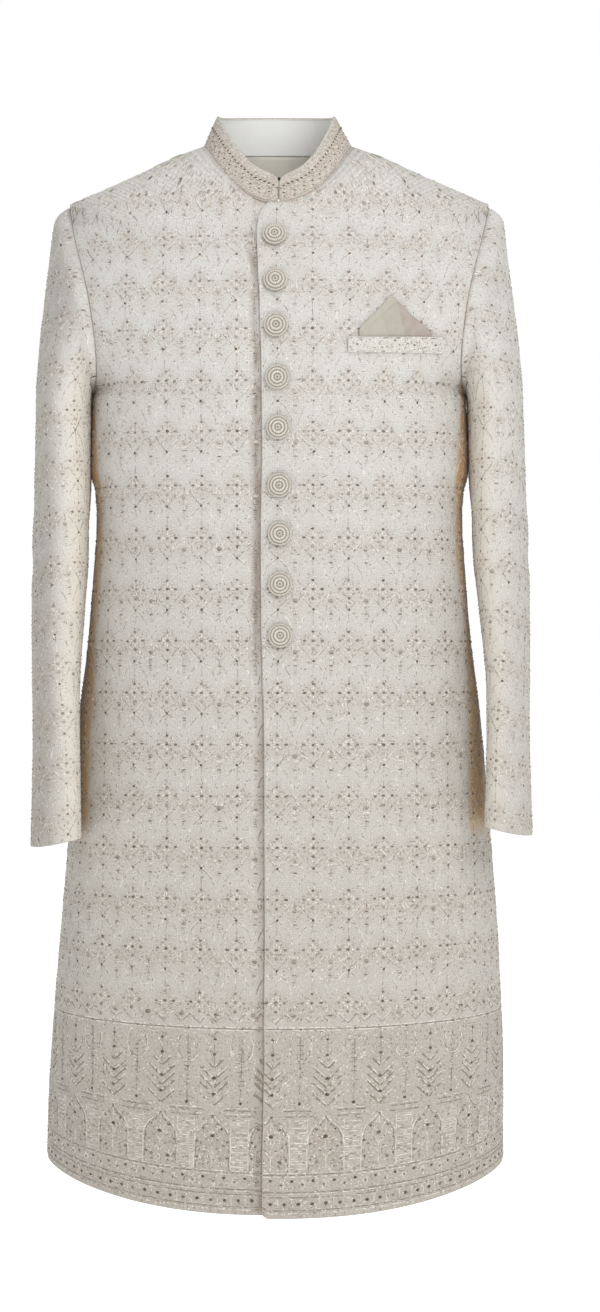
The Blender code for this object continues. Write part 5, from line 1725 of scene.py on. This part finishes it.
rng = np.random.default_rng(41)
count = 330  # strewn stitches on the welt
strewn = welt_rows(
    rng.uniform(welt_x0 + 0.002, welt_x1 - 0.002, count), rng.uniform(0.16, 0.86, count), 2.4,
    0.8, 0.45, rng.choice((0.7, -0.7, 0.0, 1.57), count))
run = np.linspace(welt_x0 + 0.001, welt_x1 - 0.001, 46)
piped = [welt_rows(run, share, 2.4, 0.9, 0.6, 0.25) for share in (0.08, 0.91)]
rows = np.concatenate((strewn, *piped))
welt_threads = sewn_on(
    "threads_pocket_welt", raised_stitch(), uneven(rows[:, :-1], rng, 0.05, 0.1, 0.3), left,
    THREAD, rows[:, -1:])
spots = [
    welt_rows((0.0762, 0.1310, 0.1520), (0.52, 0.50, 0.52), 3.0, 2.2, 0.9, 0.0),
    welt_rows((0.0881, 0.1118), (0.80, 0.78), 3.6, 1.7, 0.8, 0.0),
    welt_rows((0.0700, 0.1000, 0.1220, 0.1420, 0.1590), 0.35, 1.7, 1.4, 0.7, 0.0)]
rows = np.concatenate(spots)
welt_spangles = sewn_on(
    "spangles_pocket_welt", rounded_spangle(), uneven(rows[:, :-1], rng, 0.1), left, SPANGLE,
    rows[:, -1:])

# ---------------------------------------------------------------- every piece hung on the root, over the parts it hides
for node, (shell, (threads, spangles)) in sheets.items():
    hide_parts(node)
    for piece in (shell, threads, spangles):
        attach(piece, "root")

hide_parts("collar")
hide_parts("pocket_welt")
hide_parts("pocket_square")
for piece, slot in (
    (stand, "collar_cloth"), (collar_threads, "collar_cloth"), (collar_beads, "collar_cloth"),
    (welt, "coat_cloth"), (welt_threads, "coat_cloth"), (welt_spangles, "coat_cloth"),
    (square, "satin"),
):
    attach(piece, "root")
for number, piece in enumerate(buttons, start=1):
    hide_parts(f"button_{number}")
    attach(piece, "root")

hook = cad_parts["collar_hook"]
for number in range(len(hook.data.materials)):
    hook.data.materials[number] = BLACK_STEEL

# ---------------------------------------------------------------- floor, light and camera
FLOOR_Z = -1.45  # well below the hem
shape = bmesh.new()
bmesh.ops.create_grid(shape, x_segments=4, y_segments=4, size=12.0)
bmesh.ops.translate(shape, vec=(0.0, 0.0, FLOOR_Z), verts=shape.verts)
floor = placed("floor", mesh_of("floor", shape))
paint, tree, _, _ = started("white_studio_floor")
shader = add(
    tree, "BsdfPrincipled",
    {"Base Color": "#f7f8f6", "Roughness": 0.9, "Emission Color": "#fdfffe",
     "Emission Strength": 0.50})
add(tree, "OutputMaterial", {"Surface": shader})
floor.data.materials.append(paint)

world = bpy.data.worlds.new("studio")
world.use_nodes = True
tree = world.node_tree
tree.nodes.clear()
seen = add(tree, "Background", {"Color": "#ffffff", "Strength": 1.0})
lit = add(tree, "Background", {"Color": "#fbfbfa", "Strength": 0.65})
straight = add(tree, "LightPath", out="Is Camera Ray")
add(tree, "OutputWorld", {"Surface": add(tree, "MixShader", (straight, lit, seen))})
bpy.context.scene.world = world
bpy.context.scene.view_settings.view_transform = "Standard"

LIGHTS = (  # name, place, what it faces, size, power, colour
    ("key", (1.30, -2.60, 0.90), (0.0, 0.0, -0.40), 1.2, 31.4, "#fffffd"),
    ("high", (0.00, -1.30, 1.90), (0.0, 0.0, -0.40), 1.2, 15.0, "#ffffff"),
    ("low", (0.10, -2.70, -1.10), (0.0, 0.0, -0.60), 1.6, 8.0, "#ffffff"),
    ("back", (-0.80, 2.80, 0.20), (0.0, 0.0, -0.60), 2.0, 14.0, "#ffffff"),
)
for name, place, aim, size, power, colour in LIGHTS:
    light = bpy.data.lights.new(name, "AREA")
    light.size = size
    light.energy = power
    light.color = linear(colour)[:3]
    lamp = placed(name, light)
    lamp.location = place
    lamp.rotation_euler = (Vector(aim) - Vector(place)).to_track_quat("-Z", "Y").to_euler()

eye = bpy.data.cameras.new("camera")
eye.sensor_fit = "VERTICAL"
eye.sensor_height = 36.0
eye.lens = 71.93  # mm, with the height of its sensor above
camera = placed("camera", eye)
camera.location = (0.023, -2.700, -0.521)
camera.rotation_euler = (math.pi / 2.0, 0.0, 0.0)
bpy.context.scene.camera = camera
